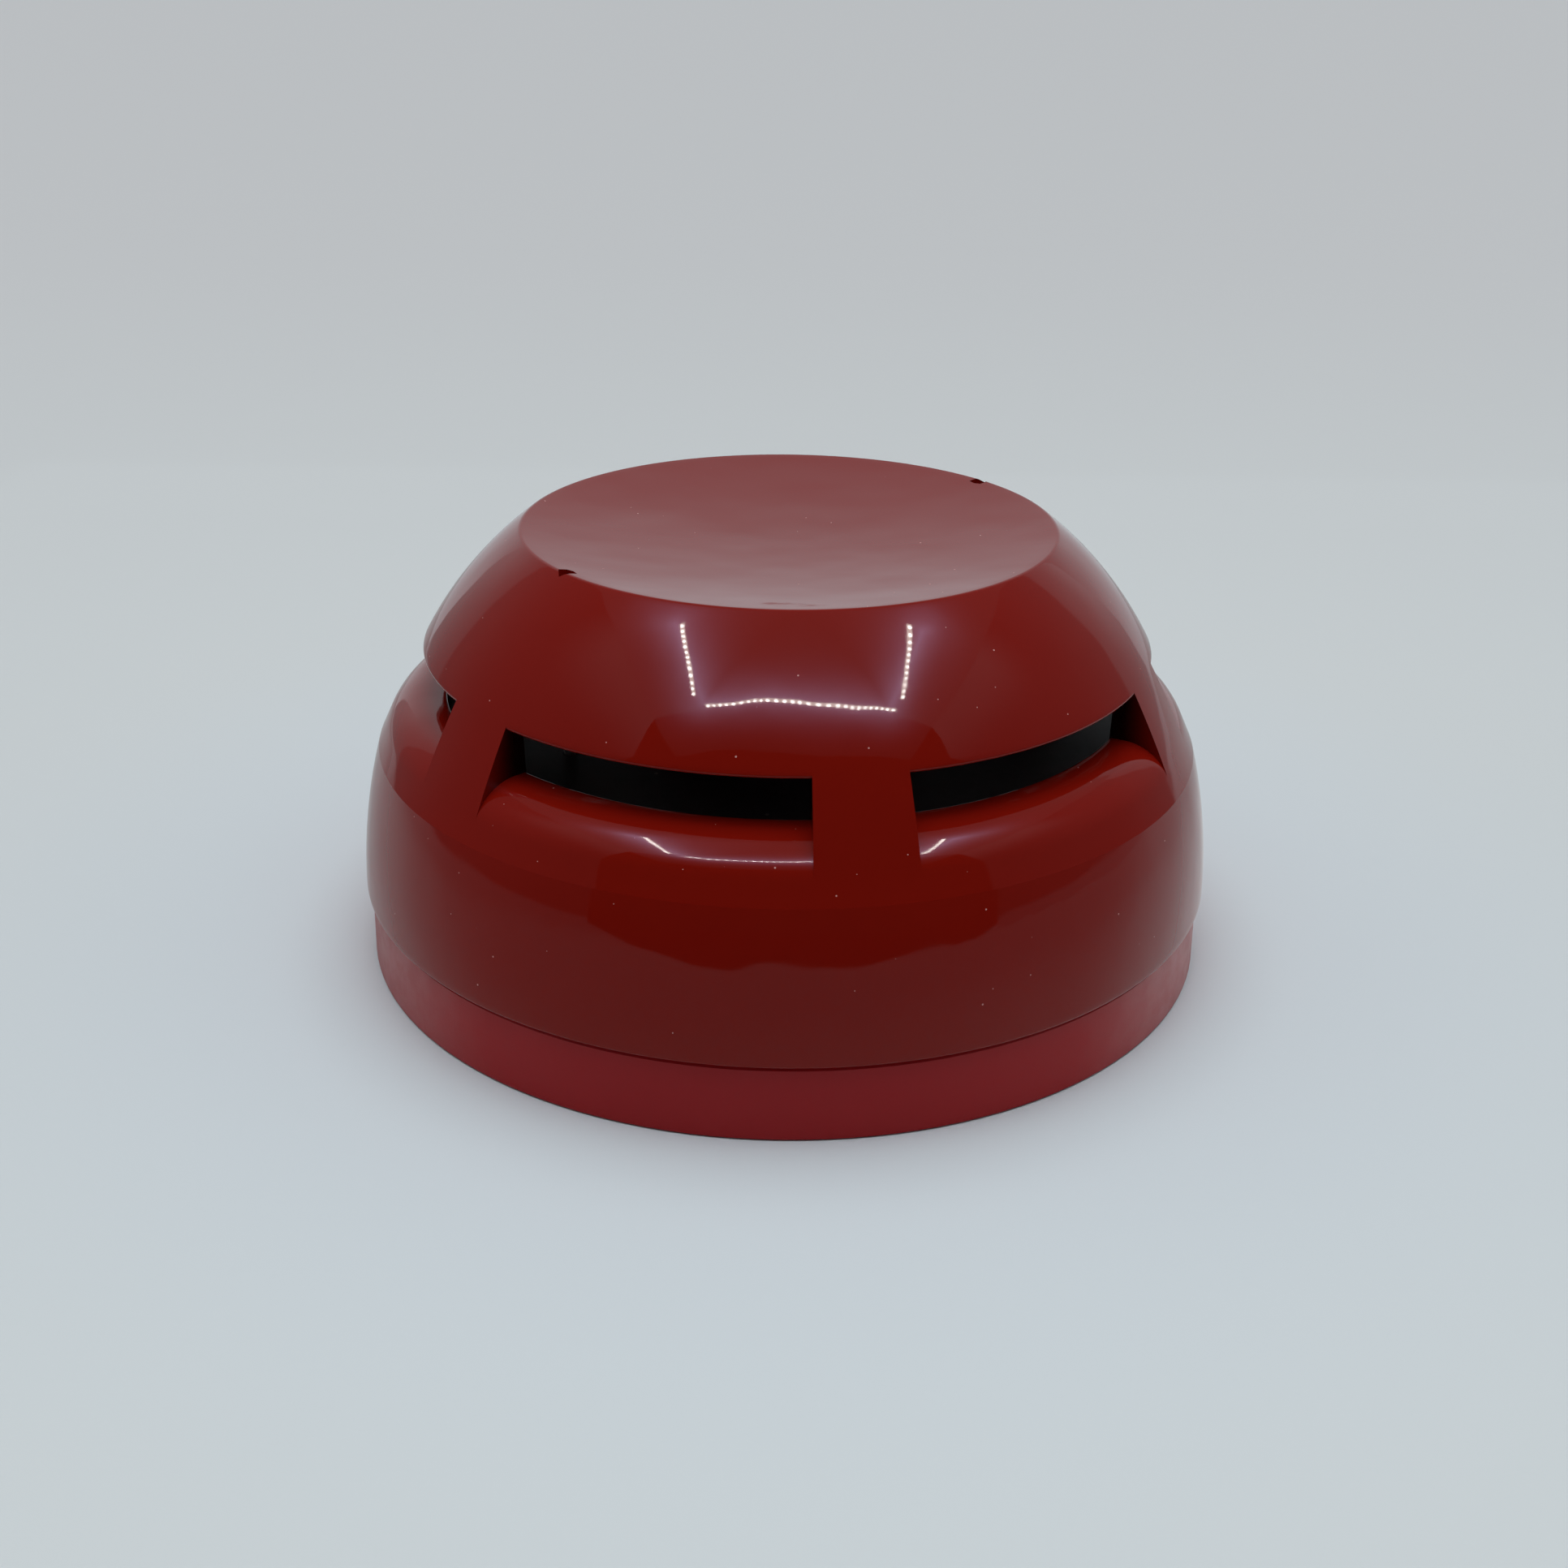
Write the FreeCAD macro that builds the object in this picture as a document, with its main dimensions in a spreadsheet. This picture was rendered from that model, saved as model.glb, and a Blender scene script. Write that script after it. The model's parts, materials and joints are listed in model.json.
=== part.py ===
"""Point heat detector: a twist-on head in a surface mounting base.

Frame: origin at the centre of the mounting face, +Z from the ceiling towards the dome.
Every length is in millimetres and every angle in degrees. "Station" parts are drawn on the
+X side of the axis and are then turned about Z to their own azimuth.
"""
import FreeCAD, Part
import math
import os
import re

import Sketcher

Vector = FreeCAD.Vector
Z_AXIS = Vector(0, 0, 1)

SIZES = {
    # mounting base
    "ring_radius": 50.0,
    "ring_draft": 0.15,
    "ring_height": 8.35,
    "ring_chamfer": 0.3,
    "ring_inner": 47.6,
    "floor_thickness": 2.2,
    "cable_radius": 14.0,
    "collar_wall": 2.0,
    "collar_top": 4.2,
    "fixing_spacing": 60.0,
    "fixing_slot_width": 4.5,
    "fixing_slot_length": 14.0,
    "recess_depth": 1.0,
    "recess_inner": 18.0,
    "recess_outer": 46.0,
    "back_pad_radius": 4.5,
    "slot_end_margin": 0.0001,
    "overlap": 0.5,
    # bayonet between base and head
    "lip_inner": 45.4,
    "lip_bottom": 6.4,
    "lip_top": 8.2,
    "lip_angle": 98.0,
    "stop_angle": 1.6,
    "lug_outer": 47.2,
    "lug_bottom": 4.2,
    "lug_top": 6.1,
    "lug_angle": 18.0,
    "bayonet_wall_outer": 44.7,
    "bayonet_wall_inner": 43.1,
    # terminals
    "station_radius": 33.0,
    "terminal_block_side": 9.0,
    "terminal_block_top": 3.6,
    "contact_sheet": 0.8,
    "contact_width": 7.0,
    "contact_arm_width": 5.0,
    "contact_arm_top": 8.0,
    "arm_sheet": 0.5,
    "arm_start": 3.0,
    "arm_bend": 6.0,
    "arm_crest": 9.5,
    "arm_turn": 11.7,
    "arm_tip": 13.35,
    "arm_tip_drop": 1.5,
    "arm_shift": 0.15,
    "plate_side": 7.0,
    "plate_sheet": 0.8,
    "plate_gap": 0.05,
    "plate_corner": 0.8,
    "screw_radius": 1.5,
    "screw_tip": 1.2,
    "screw_head_radius": 2.75,
    "screw_head_height": 1.6,
    "cross_reach": 1.7,
    "cross_width": 0.8,
    "cross_depth": 1.0,
    "thread_clearance": 0.05,
    "hole_clearance": 0.15,
    # head locking screw, radial through the base ring
    "lock_radius": 1.25,
    "lock_level": 4.9,
    "lock_length": 2.2,
    "lock_tip": 47.65,
    "lock_socket": 0.75,
    # outer cover
    "wall": 2.0,
    "skirt_bottom": 8.65,
    "skirt_radius": 50.6,
    "skirt_edge": 0.25,
    "skirt_bow": 61.4,
    "crease_radius": 48.0,
    "crease_level": 25.3,
    "face_angle": 25.8,
    "shoulder_radius": 5.85,
    "shoulder_centre_radius": 41.5,
    "shoulder_centre_level": 25.35,
    "crest_radius": 39.8,
    "post_bow": 120.0,
    "lip_radius": 42.4,
    "lip_level": 36.6,
    "dome_bow": 42.0,
    "rim_radius": 30.7,
    "height": 50.1,
    "rim_round": 0.6,
    "dish_depth": 2.6,
    "slot_angle": 46.7,
    "slot_count": 6,
    "post_azimuth": 40.1,
    "boss_orbit": 41.0,
    "boss_radius": 2.2,
    "boss_pilot": 1.0,
    "post_tuck": 0.5,
    # indicator windows in the rim
    "window_length": 1.75,
    "window_width": 1.9,
    "window_depth": 1.0,
    "window_offset": 0.35,
    "window_narrow_end": 0.4,
    # head chassis
    "chassis_radius": 48.1,
    "chassis_bottom": 8.9,
    "chassis_thickness": 1.6,
    "standoff_orbit": 31.0,
    "standoff_radius": 3.0,
    # circuit board
    "board_radius": 38.0,
    "board_bottom": 15.0,
    "board_thickness": 1.6,
    "board_screw_radius": 0.95,
    "board_screw_length": 5.0,
    "board_screw_head": 2.3,
    "cover_screw_radius": 0.95,
    "cover_screw_length": 9.0,
    "cover_screw_head": 1.9,
    "small_head_height": 1.4,
    "can_radius": 3.15,
    "can_height": 7.0,
    "can_bevel": 0.4,
    "label_length": 26.0,
    "label_width": 16.0,
    "label_sheet": 0.12,
    "blade_width": 4.0,
    "blade_sheet": 0.75,
    "blade_start": 8.4,
    "blade_end": 12.8,
    "leg_width": 2.0,
    "leg_sheet": 0.8,
    "leg_top": 17.2,
    "leg_clearance": 0.15,
    # sensing chamber
    "baffle_radius": 40.8,
    "baffle_top": 29.1,
    "baffle_thickness": 1.6,
    "boss_clearance": 0.4,
    "guard_radius": 11.0,
    "guard_level": 32.5,
    "guard_top": 43.0,
    "guard_bore": 5.5,
    "bar_width": 1.1,
    "bar_inner": 8.0,
    "bar_outer": 10.2,
    "crown_inner": 7.6,
    "crown_outer": 10.4,
    "crown_height": 1.0,
    "holder_radius": 3.0,
    "holder_top": 33.0,
    "lead_radius": 0.3,
    "lead_pitch": 1.6,
    "bead_radius": 1.4,
    "bead_level": 38.6,
    # indicators
    "indicator_orbit": 30.4,
    "led_radius": 1.5,
    "led_flange": 1.9,
    "led_flange_height": 0.8,
    "led_top": 20.6,
    "pipe_radius": 0.75,
    "pipe_foot_radius": 1.7,
    "pipe_bottom": 21.4,
    "pipe_foot_height": 1.0,
    "pipe_taper": 2.0,
    "pipe_clearance": 0.1,
}

LIP_COUNT = 3
LUG_AZIMUTH = 36.0
LOCK_AZIMUTH = 48.0
LOCK_STOP_AZIMUTH = 25.9
OPEN_STOP_AZIMUTH = 70.2
TERMINAL_AZIMUTHS = (45.0, 135.0, 225.0, 315.0)
STANDOFF_AZIMUTH = 20.0
INDICATOR_TURNS = (0.0, 180.0)
GUARD_BAR_COUNT = 6
CHIPS = {  # x, y, azimuth, length, width, height
    "controller_chip": (14.0, -2.0, 100.0, 9.0, 9.0, 1.4),
    "interface_chip": (20.0, 0.0, 205.0, 6.0, 5.0, 1.5),
    "bridge_rectifier": (25.0, 0.0, 290.0, 5.0, 6.4, 2.4),
    "surge_suppressor": (24.0, 0.0, 315.0, 3.6, 4.4, 2.2),
}
CHIP_ROWS = {  # first place, pitch, columns and rows, block size
    "chip_resistors": ((-16.0, -16.0), (3.4, 3.0), (6, 2), (2.0, 1.25, 0.5)),
    "chip_capacitors": ((-25.0, 2.0), (3.6, 3.2), (2, 4), (1.6, 1.6, 0.9)),
}
CAPACITOR_AZIMUTH = 340.0
CAPACITOR_ORBIT = 19.0

document = FreeCAD.newDocument("heat_detector")
sheet = document.addObject("Spreadsheet::Sheet", "Sizes")
for row, (alias, value) in enumerate(SIZES.items(), start=1):
    sheet.set("A%d" % row, alias.replace("_", " "))
    sheet.set("B%d" % row, str(value))
    sheet.setAlias("B%d" % row, alias)
document.recompute()

nodes = []


# ---------------------------------------------------------------- parametric helpers
def expression(text):
    """Write sheet aliases in full, so that 'wall * 2' becomes 'Sizes.wall * 2'."""
    return re.sub(r"[a-z]\w*", lambda word: "Sizes." + word[0] if word[0] in SIZES else word[0], text)


def number(text):
    """The present value of an expression over the sheet."""
    value = sheet.evalExpression(expression(text))
    return float(getattr(value, "Value", value))


def bind(item, **properties):
    """Bind properties of a document object to expressions over the sheet."""
    for name, text in properties.items():
        item.setExpression(name, expression(text))


def turned(azimuth, x=0.0, y=0.0, z=0.0):
    """A placement that moves to (x, y, z) and then turns about the main axis."""
    turn = FreeCAD.Placement(Vector(0, 0, 0), FreeCAD.Rotation(Z_AXIS, azimuth))
    return turn * FreeCAD.Placement(Vector(x, y, z), FreeCAD.Rotation())


def keep(item, label, azimuth=0.0):
    """Name a finished sub-part and turn it to its azimuth."""
    item.Label = label
    if azimuth:
        item.Placement = turned(azimuth)
    nodes.append(item)
    return item


def new_body(name):
    body = document.addObject("PartDesign::Body", name)
    body.AllowCompound = True
    return body


def new_sketch(body, plane, level="0", turn=0.0):
    """A sketch on an origin plane, moved along its normal and turned about the main axis."""
    sketch = body.newObject("Sketcher::SketchObject", body.Name + "_outline")
    support = [item for item in body.Origin.OriginFeatures if item.Role == plane][0]
    sketch.AttachmentSupport = [(support, "")]
    sketch.MapMode = "FlatFace"
    upright = Vector(0, 0, 1) if plane == "XY_Plane" else Vector(0, 1, 0)
    spin = FreeCAD.Placement(Vector(0, 0, 0), FreeCAD.Rotation(upright, turn))
    sketch.AttachmentOffset = spin * FreeCAD.Placement(Vector(0, 0, number(level)), FreeCAD.Rotation())
    if not turn and level != "0":
        sketch.setExpression("AttachmentOffset.Base.z", expression(level))
    return sketch


def pin_point(sketch, edge, end, x, y):
    """Fix a sketch point to coordinates that follow the sheet."""
    for kind, text, axis in (("DistanceX", x, -2), ("DistanceY", y, -1)):
        if text == "0":
            sketch.addConstraint(Sketcher.Constraint("PointOnObject", edge, end, axis))
        else:
            index = sketch.addConstraint(Sketcher.Constraint(kind, edge, end, number(text)))
            sketch.setExpression("Constraints[%d]" % index, expression(text))


def arc_between(start, end, radius, centre_on_left):
    """The shorter arc from start to end, as an anticlockwise arc of a circle."""
    chord = end - start
    side = Vector(-chord.y, chord.x, 0).normalize() * (1 if centre_on_left else -1)
    centre = (start + end) * 0.5 + side * math.sqrt(radius ** 2 - chord.Length ** 2 / 4)
    first, last = (start, end) if centre_on_left else (end, start)
    angles = [math.atan2(point.y - centre.y, point.x - centre.x) for point in (first, last)]
    return Part.ArcOfCircle(Part.Circle(centre, Z_AXIS, radius), angles[0], angles[1])


def add_outline(sketch, corners, arcs=None):
    """Draw a closed outline. arcs maps the index of an edge to (radius, centre on the left)."""
    arcs = arcs or {}
    points = [Vector(number(x), number(y), 0) for x, y in corners]
    ends = []
    for index, start in enumerate(points):
        end = points[(index + 1) % len(points)]
        if index in arcs:
            radius, centre_on_left = arcs[index]
            edge = sketch.addGeometry(arc_between(start, end, number(radius), centre_on_left))
            ends.append((edge, 1, 2) if centre_on_left else (edge, 2, 1))
            bend = sketch.addConstraint(Sketcher.Constraint("Radius", edge, number(radius)))
            sketch.setExpression("Constraints[%d]" % bend, expression(radius))
        else:
            edge = sketch.addGeometry(Part.LineSegment(start, end))
            ends.append((edge, 1, 2))
    for index, (edge, first, last) in enumerate(ends):
        following, following_first, _ = ends[(index + 1) % len(ends)]
        sketch.addConstraint(Sketcher.Constraint("Coincident", edge, last, following, following_first))
        pin_point(sketch, edge, first, *corners[index])
    return sketch


def add_circle(sketch, x, y, radius):
    """Draw a circle whose centre and radius follow the sheet."""
    circle = Part.Circle(Vector(number(x), number(y), 0), Z_AXIS, number(radius))
    edge = sketch.addGeometry(circle)
    pin_point(sketch, edge, 3, x, y)
    bend = sketch.addConstraint(Sketcher.Constraint("Radius", edge, number(radius)))
    sketch.setExpression("Constraints[%d]" % bend, expression(radius))
    return sketch


def rectangle(low_x, high_x, low_y, high_y):
    """Corners of a rectangle from four expressions."""
    return [(low_x, low_y), (high_x, low_y), (high_x, high_y), (low_x, high_y)]


def add_feature(body, kind, sketch, cuts=False, **settings):
    """Add a sketch-based feature and make sure that it really added or removed material."""
    document.recompute()
    before = body.Shape.Volume if body.Tip else 0.0
    feature = body.newObject("PartDesign::" + kind, body.Name + "_" + kind.lower())
    feature.Profile = sketch
    for name, value in settings.items():
        setattr(feature, name, value)
    if kind in ("Revolution", "Groove"):
        feature.ReferenceAxis = (sketch, ["V_Axis"])
    document.recompute()
    after = body.Shape.Volume
    if (after >= before) if cuts else (after <= before):
        raise RuntimeError("%s changed nothing on %s" % (kind, body.Name))
    return feature


def revolve(body, sketch, angle="360"):
    """Turn an outline about the main axis, centred on the sketch plane."""
    feature = add_feature(body, "Revolution", sketch, Angle=number(angle), Midplane=angle != "360")
    if angle != "360":
        bind(feature, Angle=angle)
    return feature


def groove(body, sketch, angle):
    feature = add_feature(body, "Groove", sketch, cuts=True, Angle=number(angle), Midplane=True)
    bind(feature, Angle=angle)
    return feature


def pad(body, sketch, length, midplane=False):
    feature = add_feature(body, "Pad", sketch, Length=number(length), Midplane=midplane)
    bind(feature, Length=length)
    return feature


def pocket(body, sketch, length):
    """Cut from the sketch against its normal."""
    feature = add_feature(body, "Pocket", sketch, cuts=True, Length=number(length))
    bind(feature, Length=length)
    return feature


def round_edge(body, radius, level, rounding):
    """Round the circular edge that has this radius and stands at this level."""
    base = body.Tip
    names = []
    for index, edge in enumerate(base.Shape.Edges, start=1):
        box = edge.BoundBox
        if abs(box.XMax - number(radius)) + abs(box.ZMin - number(level)) + abs(box.ZLength) < 0.01:
            names.append("Edge%d" % index)
    fillet = body.newObject("PartDesign::Fillet", body.Name + "_fillet")
    fillet.Base = (base, names)
    fillet.Radius = number(rounding)
    bind(fillet, Radius=rounding)
    body.Tip = fillet
    document.recompute()
    return fillet


def repeat(body, features, count):
    """Repeat features evenly about the main axis."""
    pattern = body.newObject("PartDesign::PolarPattern", body.Name + "_pattern")
    axis = [item for item in body.Origin.OriginFeatures if item.Role == "Z_Axis"][0]
    pattern.Originals = features
    pattern.Axis = (axis, [""])
    pattern.Angle = 360
    pattern.Occurrences = count
    body.Tip = pattern
    document.recompute()
    return pattern


def chip(label, x, y, azimuth, length, width, height, chamfer=0.15):
    """A moulded component that stands on the circuit board, with its top edges bevelled."""
    block = document.addObject("Part::Box", label + "_block")
    block.Length, block.Width, block.Height = length, width, height
    block.Placement = FreeCAD.Placement(Vector(x - length / 2, y - width / 2, 0), FreeCAD.Rotation())
    bind(block, **{"Placement.Base.z": "board_bottom + board_thickness"})
    document.recompute()
    bevel = document.addObject("Part::Chamfer", label + "_bevel")
    bevel.Base = block
    top = block.Shape.BoundBox.ZMax
    rims = [index for index, edge in enumerate(block.Shape.Edges, start=1)
            if min(vertex.Z for vertex in edge.Vertexes) > top - 0.001]
    bevel.Edges = [(index, chamfer, chamfer) for index in rims]
    return keep(bevel, label, azimuth)


def chip_row(label, first, pitch, counts, size):
    """Identical surface-mounted components that share one node."""
    length, width, height = size
    blocks = []
    for index in range(counts[0] * counts[1]):
        row, column = divmod(index, counts[0])
        x = first[0] + pitch[0] * column
        y = first[1] + pitch[1] * row
        block = document.addObject("Part::Box", label + "_block")
        block.Length, block.Width, block.Height = length, width, height
        block.Placement = FreeCAD.Placement(Vector(x, y, 0), FreeCAD.Rotation())
        bind(block, **{"Placement.Base.z": "board_bottom + board_thickness"})
        blocks.append(block)
    group = document.addObject("Part::Compound", label + "_group")
    group.Links = blocks
    return keep(group, label)


# ---------------------------------------------------------------- mounting base
def mounting_base():
    """Moulded base: floor, outer ring, cable collar, bayonet lips and terminal blocks."""
    body = new_body("mounting_base")
    section = new_sketch(body, "XZ_Plane")
    add_outline(section, [
        ("cable_radius", "0"),
        ("ring_radius + ring_draft", "0"),
        ("ring_radius", "ring_height - ring_chamfer"),
        ("ring_radius - ring_chamfer", "ring_height"),
        ("ring_inner", "ring_height"),
        ("ring_inner", "floor_thickness"),
        ("cable_radius + collar_wall", "floor_thickness"),
        ("cable_radius + collar_wall", "collar_top"),
        ("cable_radius", "collar_top"),
    ])
    revolve(body, section)
    back_recess(body)

    lip = new_sketch(body, "XZ_Plane")
    add_outline(lip, rectangle("lip_inner", "ring_inner + overlap", "lip_bottom", "lip_top"))
    features = [revolve(body, lip, "lip_angle")]
    for azimuth in (LOCK_STOP_AZIMUTH, OPEN_STOP_AZIMUTH):
        stop = new_sketch(body, "XZ_Plane", turn=azimuth)
        add_outline(stop, rectangle("lip_inner", "ring_inner + overlap", "floor_thickness - overlap",
                                    "lip_bottom + overlap"))
        features.append(revolve(body, stop, "stop_angle"))
    repeat(body, features, LIP_COUNT)

    block = new_sketch(body, "XY_Plane", "floor_thickness - overlap", TERMINAL_AZIMUTHS[0])
    half = "terminal_block_side / 2"
    add_outline(block, rectangle("station_radius - " + half, "station_radius + " + half,
                                 "-" + half, half))
    blocks = pad(body, block, "terminal_block_top - floor_thickness + overlap")
    repeat(body, [blocks], len(TERMINAL_AZIMUTHS))
    bore = new_sketch(body, "XY_Plane", "terminal_block_top", TERMINAL_AZIMUTHS[0])
    add_circle(bore, "station_radius", "0", "screw_radius + hole_clearance")
    bores = pocket(body, bore, "terminal_block_top - screw_tip + hole_clearance * 2")
    repeat(body, [bores], len(TERMINAL_AZIMUTHS))

    fixing = new_sketch(body, "XY_Plane", "floor_thickness")
    near = "fixing_spacing / 2 - fixing_slot_length / 2 + fixing_slot_width / 2"
    far = "fixing_spacing / 2 + fixing_slot_length / 2 - fixing_slot_width / 2"
    edge = "fixing_slot_width / 2"
    add_outline(fixing, [(near, "-" + edge), (far, "-" + edge), (far, edge), (near, edge)],
                {1: (edge + " + slot_end_margin", True), 3: (edge + " + slot_end_margin", True)})
    slots = pocket(body, fixing, "floor_thickness")
    repeat(body, [slots], 2)

    lock = new_sketch(body, "YZ_Plane", "ring_radius + 2", LOCK_AZIMUTH)
    add_circle(lock, "0", "lock_level", "lock_radius + thread_clearance")
    pocket(body, lock, "ring_radius + 2 - ring_inner + 1")
    return keep(body, "mounting_base")


def back_recess(body):
    """Hollow the back, leaving pads under the fixing slots and the terminal blocks."""
    recess = new_sketch(body, "XZ_Plane")
    add_outline(recess, rectangle("recess_inner", "recess_outer", "-1", "recess_depth"))
    groove(body, recess, "360")
    reach = "fixing_slot_length / 2 + back_pad_radius / 2"
    slot_pad = new_sketch(body, "XY_Plane")
    add_outline(slot_pad, rectangle("fixing_spacing / 2 - " + reach.replace("+", "-"),
                                    "fixing_spacing / 2 + " + reach,
                                    "-back_pad_radius", "back_pad_radius"))
    repeat(body, [pad(body, slot_pad, "recess_depth + overlap / 2")], 2)
    block_pad = new_sketch(body, "XY_Plane", "0", TERMINAL_AZIMUTHS[0])
    add_circle(block_pad, "station_radius", "0", "back_pad_radius")
    repeat(body, [pad(body, block_pad, "recess_depth + overlap / 2")], len(TERMINAL_AZIMUTHS))


def base_contact(label, azimuth):
    """Spring contact: a flat tab on the terminal block and a bowed arm beside it."""
    body = new_body(label)
    half = "contact_width / 2"
    tab = new_sketch(body, "XY_Plane", "terminal_block_top")
    add_outline(tab, rectangle("station_radius - " + half, "station_radius + " + half,
                               "-" + half, half))
    add_circle(tab, "station_radius", "0", "screw_radius + thread_clearance")
    pad(body, tab, "contact_sheet")
    arm = new_sketch(body, "YZ_Plane", "station_radius")
    base, sheet_top = "terminal_block_top", "terminal_block_top + contact_sheet"
    top, under = "contact_arm_top", "contact_arm_top - arm_sheet"
    add_outline(arm, [
        ("arm_start", base),
        ("arm_bend + arm_shift", base),
        ("arm_crest + arm_shift", under),
        ("arm_turn - arm_shift", under),
        ("arm_tip - arm_shift", top + " - arm_tip_drop - arm_shift"),
        ("arm_tip + arm_shift", top + " - arm_tip_drop + arm_shift"),
        ("arm_turn + arm_shift", top),
        ("arm_crest - arm_shift", top),
        ("arm_bend - arm_shift", sheet_top),
        ("arm_start", sheet_top),
    ])
    pad(body, arm, "contact_arm_width", midplane=True)
    return keep(body, label, azimuth)


def clamp_plate(label, azimuth):
    """Square washer with cut corners that the terminal screw presses on the wire."""
    body = new_body(label)
    near, far = "station_radius - plate_side / 2", "station_radius + plate_side / 2"
    half, cut = "plate_side / 2", "plate_corner"
    plate = new_sketch(body, "XY_Plane", "terminal_block_top + contact_sheet + plate_gap")
    add_outline(plate, [
        (near + " + " + cut, "-" + half), (far + " - " + cut, "-" + half),
        (far, "-" + half + " + " + cut), (far, half + " - " + cut),
        (far + " - " + cut, half), (near + " + " + cut, half),
        (near, half + " - " + cut), (near, "-" + half + " + " + cut),
    ])
    add_circle(plate, "station_radius", "0", "screw_radius + thread_clearance")
    pad(body, plate, "plate_sheet")
    return keep(body, label, azimuth)


def terminal_screw(label, azimuth):
    """Pan-head screw with a cross recess, captive in its clamp plate."""
    body = new_body(label)
    seat = "(terminal_block_top + contact_sheet + plate_gap + plate_sheet)"
    top = seat + " + screw_head_height"
    shank = new_sketch(body, "XY_Plane", "screw_tip")
    add_circle(shank, "station_radius", "0", "screw_radius")
    pad(body, shank, seat + " - screw_tip")
    head = new_sketch(body, "XY_Plane", seat)
    add_circle(head, "station_radius", "0", "screw_head_radius")
    pad(body, head, "screw_head_height")
    for length, width in (("cross_reach", "cross_width / 2"), ("cross_width / 2", "cross_reach")):
        recess = new_sketch(body, "XY_Plane", top)
        add_outline(recess, rectangle("station_radius - " + length, "station_radius + " + length,
                                      "-" + width, width))
        pocket(body, recess, "cross_depth")
    return keep(body, label, azimuth)


def locking_screw():
    """Radial grub screw that bars a bayonet lug once it is driven in."""
    body = new_body("locking_screw")
    tip = new_sketch(body, "YZ_Plane", "lock_tip")
    add_circle(tip, "0", "lock_level", "lock_radius")
    pad(body, tip, "lock_length")
    socket = new_sketch(body, "YZ_Plane", "lock_tip + lock_length")
    corners = []
    for index in range(6):
        angle = math.radians(60 * index)
        corners.append(("lock_socket * %.6f" % math.cos(angle),
                        "lock_level + lock_socket * %.6f" % math.sin(angle)))
    add_outline(socket, corners)
    pocket(body, socket, "lock_length / 2")
    return keep(body, "locking_screw", LOCK_AZIMUTH)


# ---------------------------------------------------------------- outer cover
def on_shoulder(radius, angle):
    """A point of an arc about the shoulder's centre, as a pair of expressions."""
    return ("shoulder_centre_radius + (%s) * cos(%s)" % (radius, angle),
            "shoulder_centre_level + (%s) * sin(%s)" % (radius, angle))


def outer_cover():
    """Glossy shell: skirt, six posts, a domed cap with a dished top, and bosses inside."""
    body = new_body("outer_cover")
    inner_shoulder = "shoulder_radius - wall"
    crest = "shoulder_centre_level + shoulder_radius"
    skirt = new_sketch(body, "XZ_Plane")
    add_outline(skirt, [
        ("skirt_radius - wall", "skirt_bottom"),
        ("skirt_radius - skirt_edge", "skirt_bottom"),
        ("skirt_radius", "skirt_bottom + skirt_edge"),
        ("crease_radius", "crease_level"),
        on_shoulder("shoulder_radius", "face_angle"),
        ("shoulder_centre_radius", crest),
        ("crest_radius", crest),
        ("crest_radius", crest + " - wall"),
        ("shoulder_centre_radius", crest + " - wall"),
        on_shoulder(inner_shoulder, "face_angle"),
        ("crease_radius - wall", "crease_level - overlap"),
    ], {
        2: ("skirt_bow", True),
        4: ("shoulder_radius", True),
        8: (inner_shoulder, False),
        10: ("skirt_bow - wall", False),
    })
    revolve(body, skirt)

    cap = new_sketch(body, "XZ_Plane")
    dish_bow = "(rim_radius ^ 2 + dish_depth ^ 2) / (2 * dish_depth)"
    add_outline(cap, [
        ("0", "height - dish_depth - wall"),
        ("rim_radius - wall * 0.6", "height - wall * 1.05"),
        ("lip_radius - wall * 1.2", "lip_level"),
        ("lip_radius", "lip_level"),
        ("rim_radius", "height"),
        ("0", "height - dish_depth"),
    ], {
        0: (dish_bow, True),
        1: ("dome_bow - wall", False),
        3: ("dome_bow", True),
        4: (dish_bow, False),
    })
    revolve(body, cap)
    round_edge(body, "rim_radius", "height", "rim_round")

    post = new_sketch(body, "XZ_Plane")
    add_outline(post, [
        ("lip_radius - wall * 1.2", crest + " - overlap"),
        on_shoulder("shoulder_radius - overlap * 2", "face_angle + 18"),
        on_shoulder("shoulder_radius", "face_angle"),
        ("lip_radius", "lip_level"),
        ("lip_radius - post_tuck", "lip_level + post_tuck"),
        ("lip_radius - wall * 1.2", "lip_level + post_tuck"),
    ], {2: ("post_bow", True)})
    posts = revolve(body, post, "360 / slot_count - slot_angle")
    repeat(body, [posts], SIZES["slot_count"])

    boss = new_sketch(body, "XY_Plane", "chassis_bottom + chassis_thickness")
    add_circle(boss, "boss_orbit", "0", "boss_radius")
    add_circle(boss, "boss_orbit", "0", "boss_pilot")
    bosses = pad(body, boss, crest + " - overlap - chassis_bottom - chassis_thickness")
    repeat(body, [bosses], LIP_COUNT)

    window = new_sketch(body, "XY_Plane", "height + 1")
    centre, half, narrow = "indicator_orbit + 0.2", "window_width / 2", "window_narrow_end / 2"
    start, end = "-window_length / 2 - window_offset", "window_length / 2 - window_offset"
    add_outline(window, [(centre + " - " + half, start), (centre + " + " + half, start),
                         (centre + " + " + narrow, end), (centre + " - " + narrow, end)])
    windows = [pocket(body, window, "window_depth + 1")]
    bore = new_sketch(body, "XY_Plane", "height")
    add_circle(bore, "indicator_orbit", "-window_length / 4 - window_offset",
               "pipe_radius + pipe_clearance")
    windows.append(pocket(body, bore, "wall * 2"))
    repeat(body, windows, 2)
    return keep(body, "outer_cover", SIZES["post_azimuth"])


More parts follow.
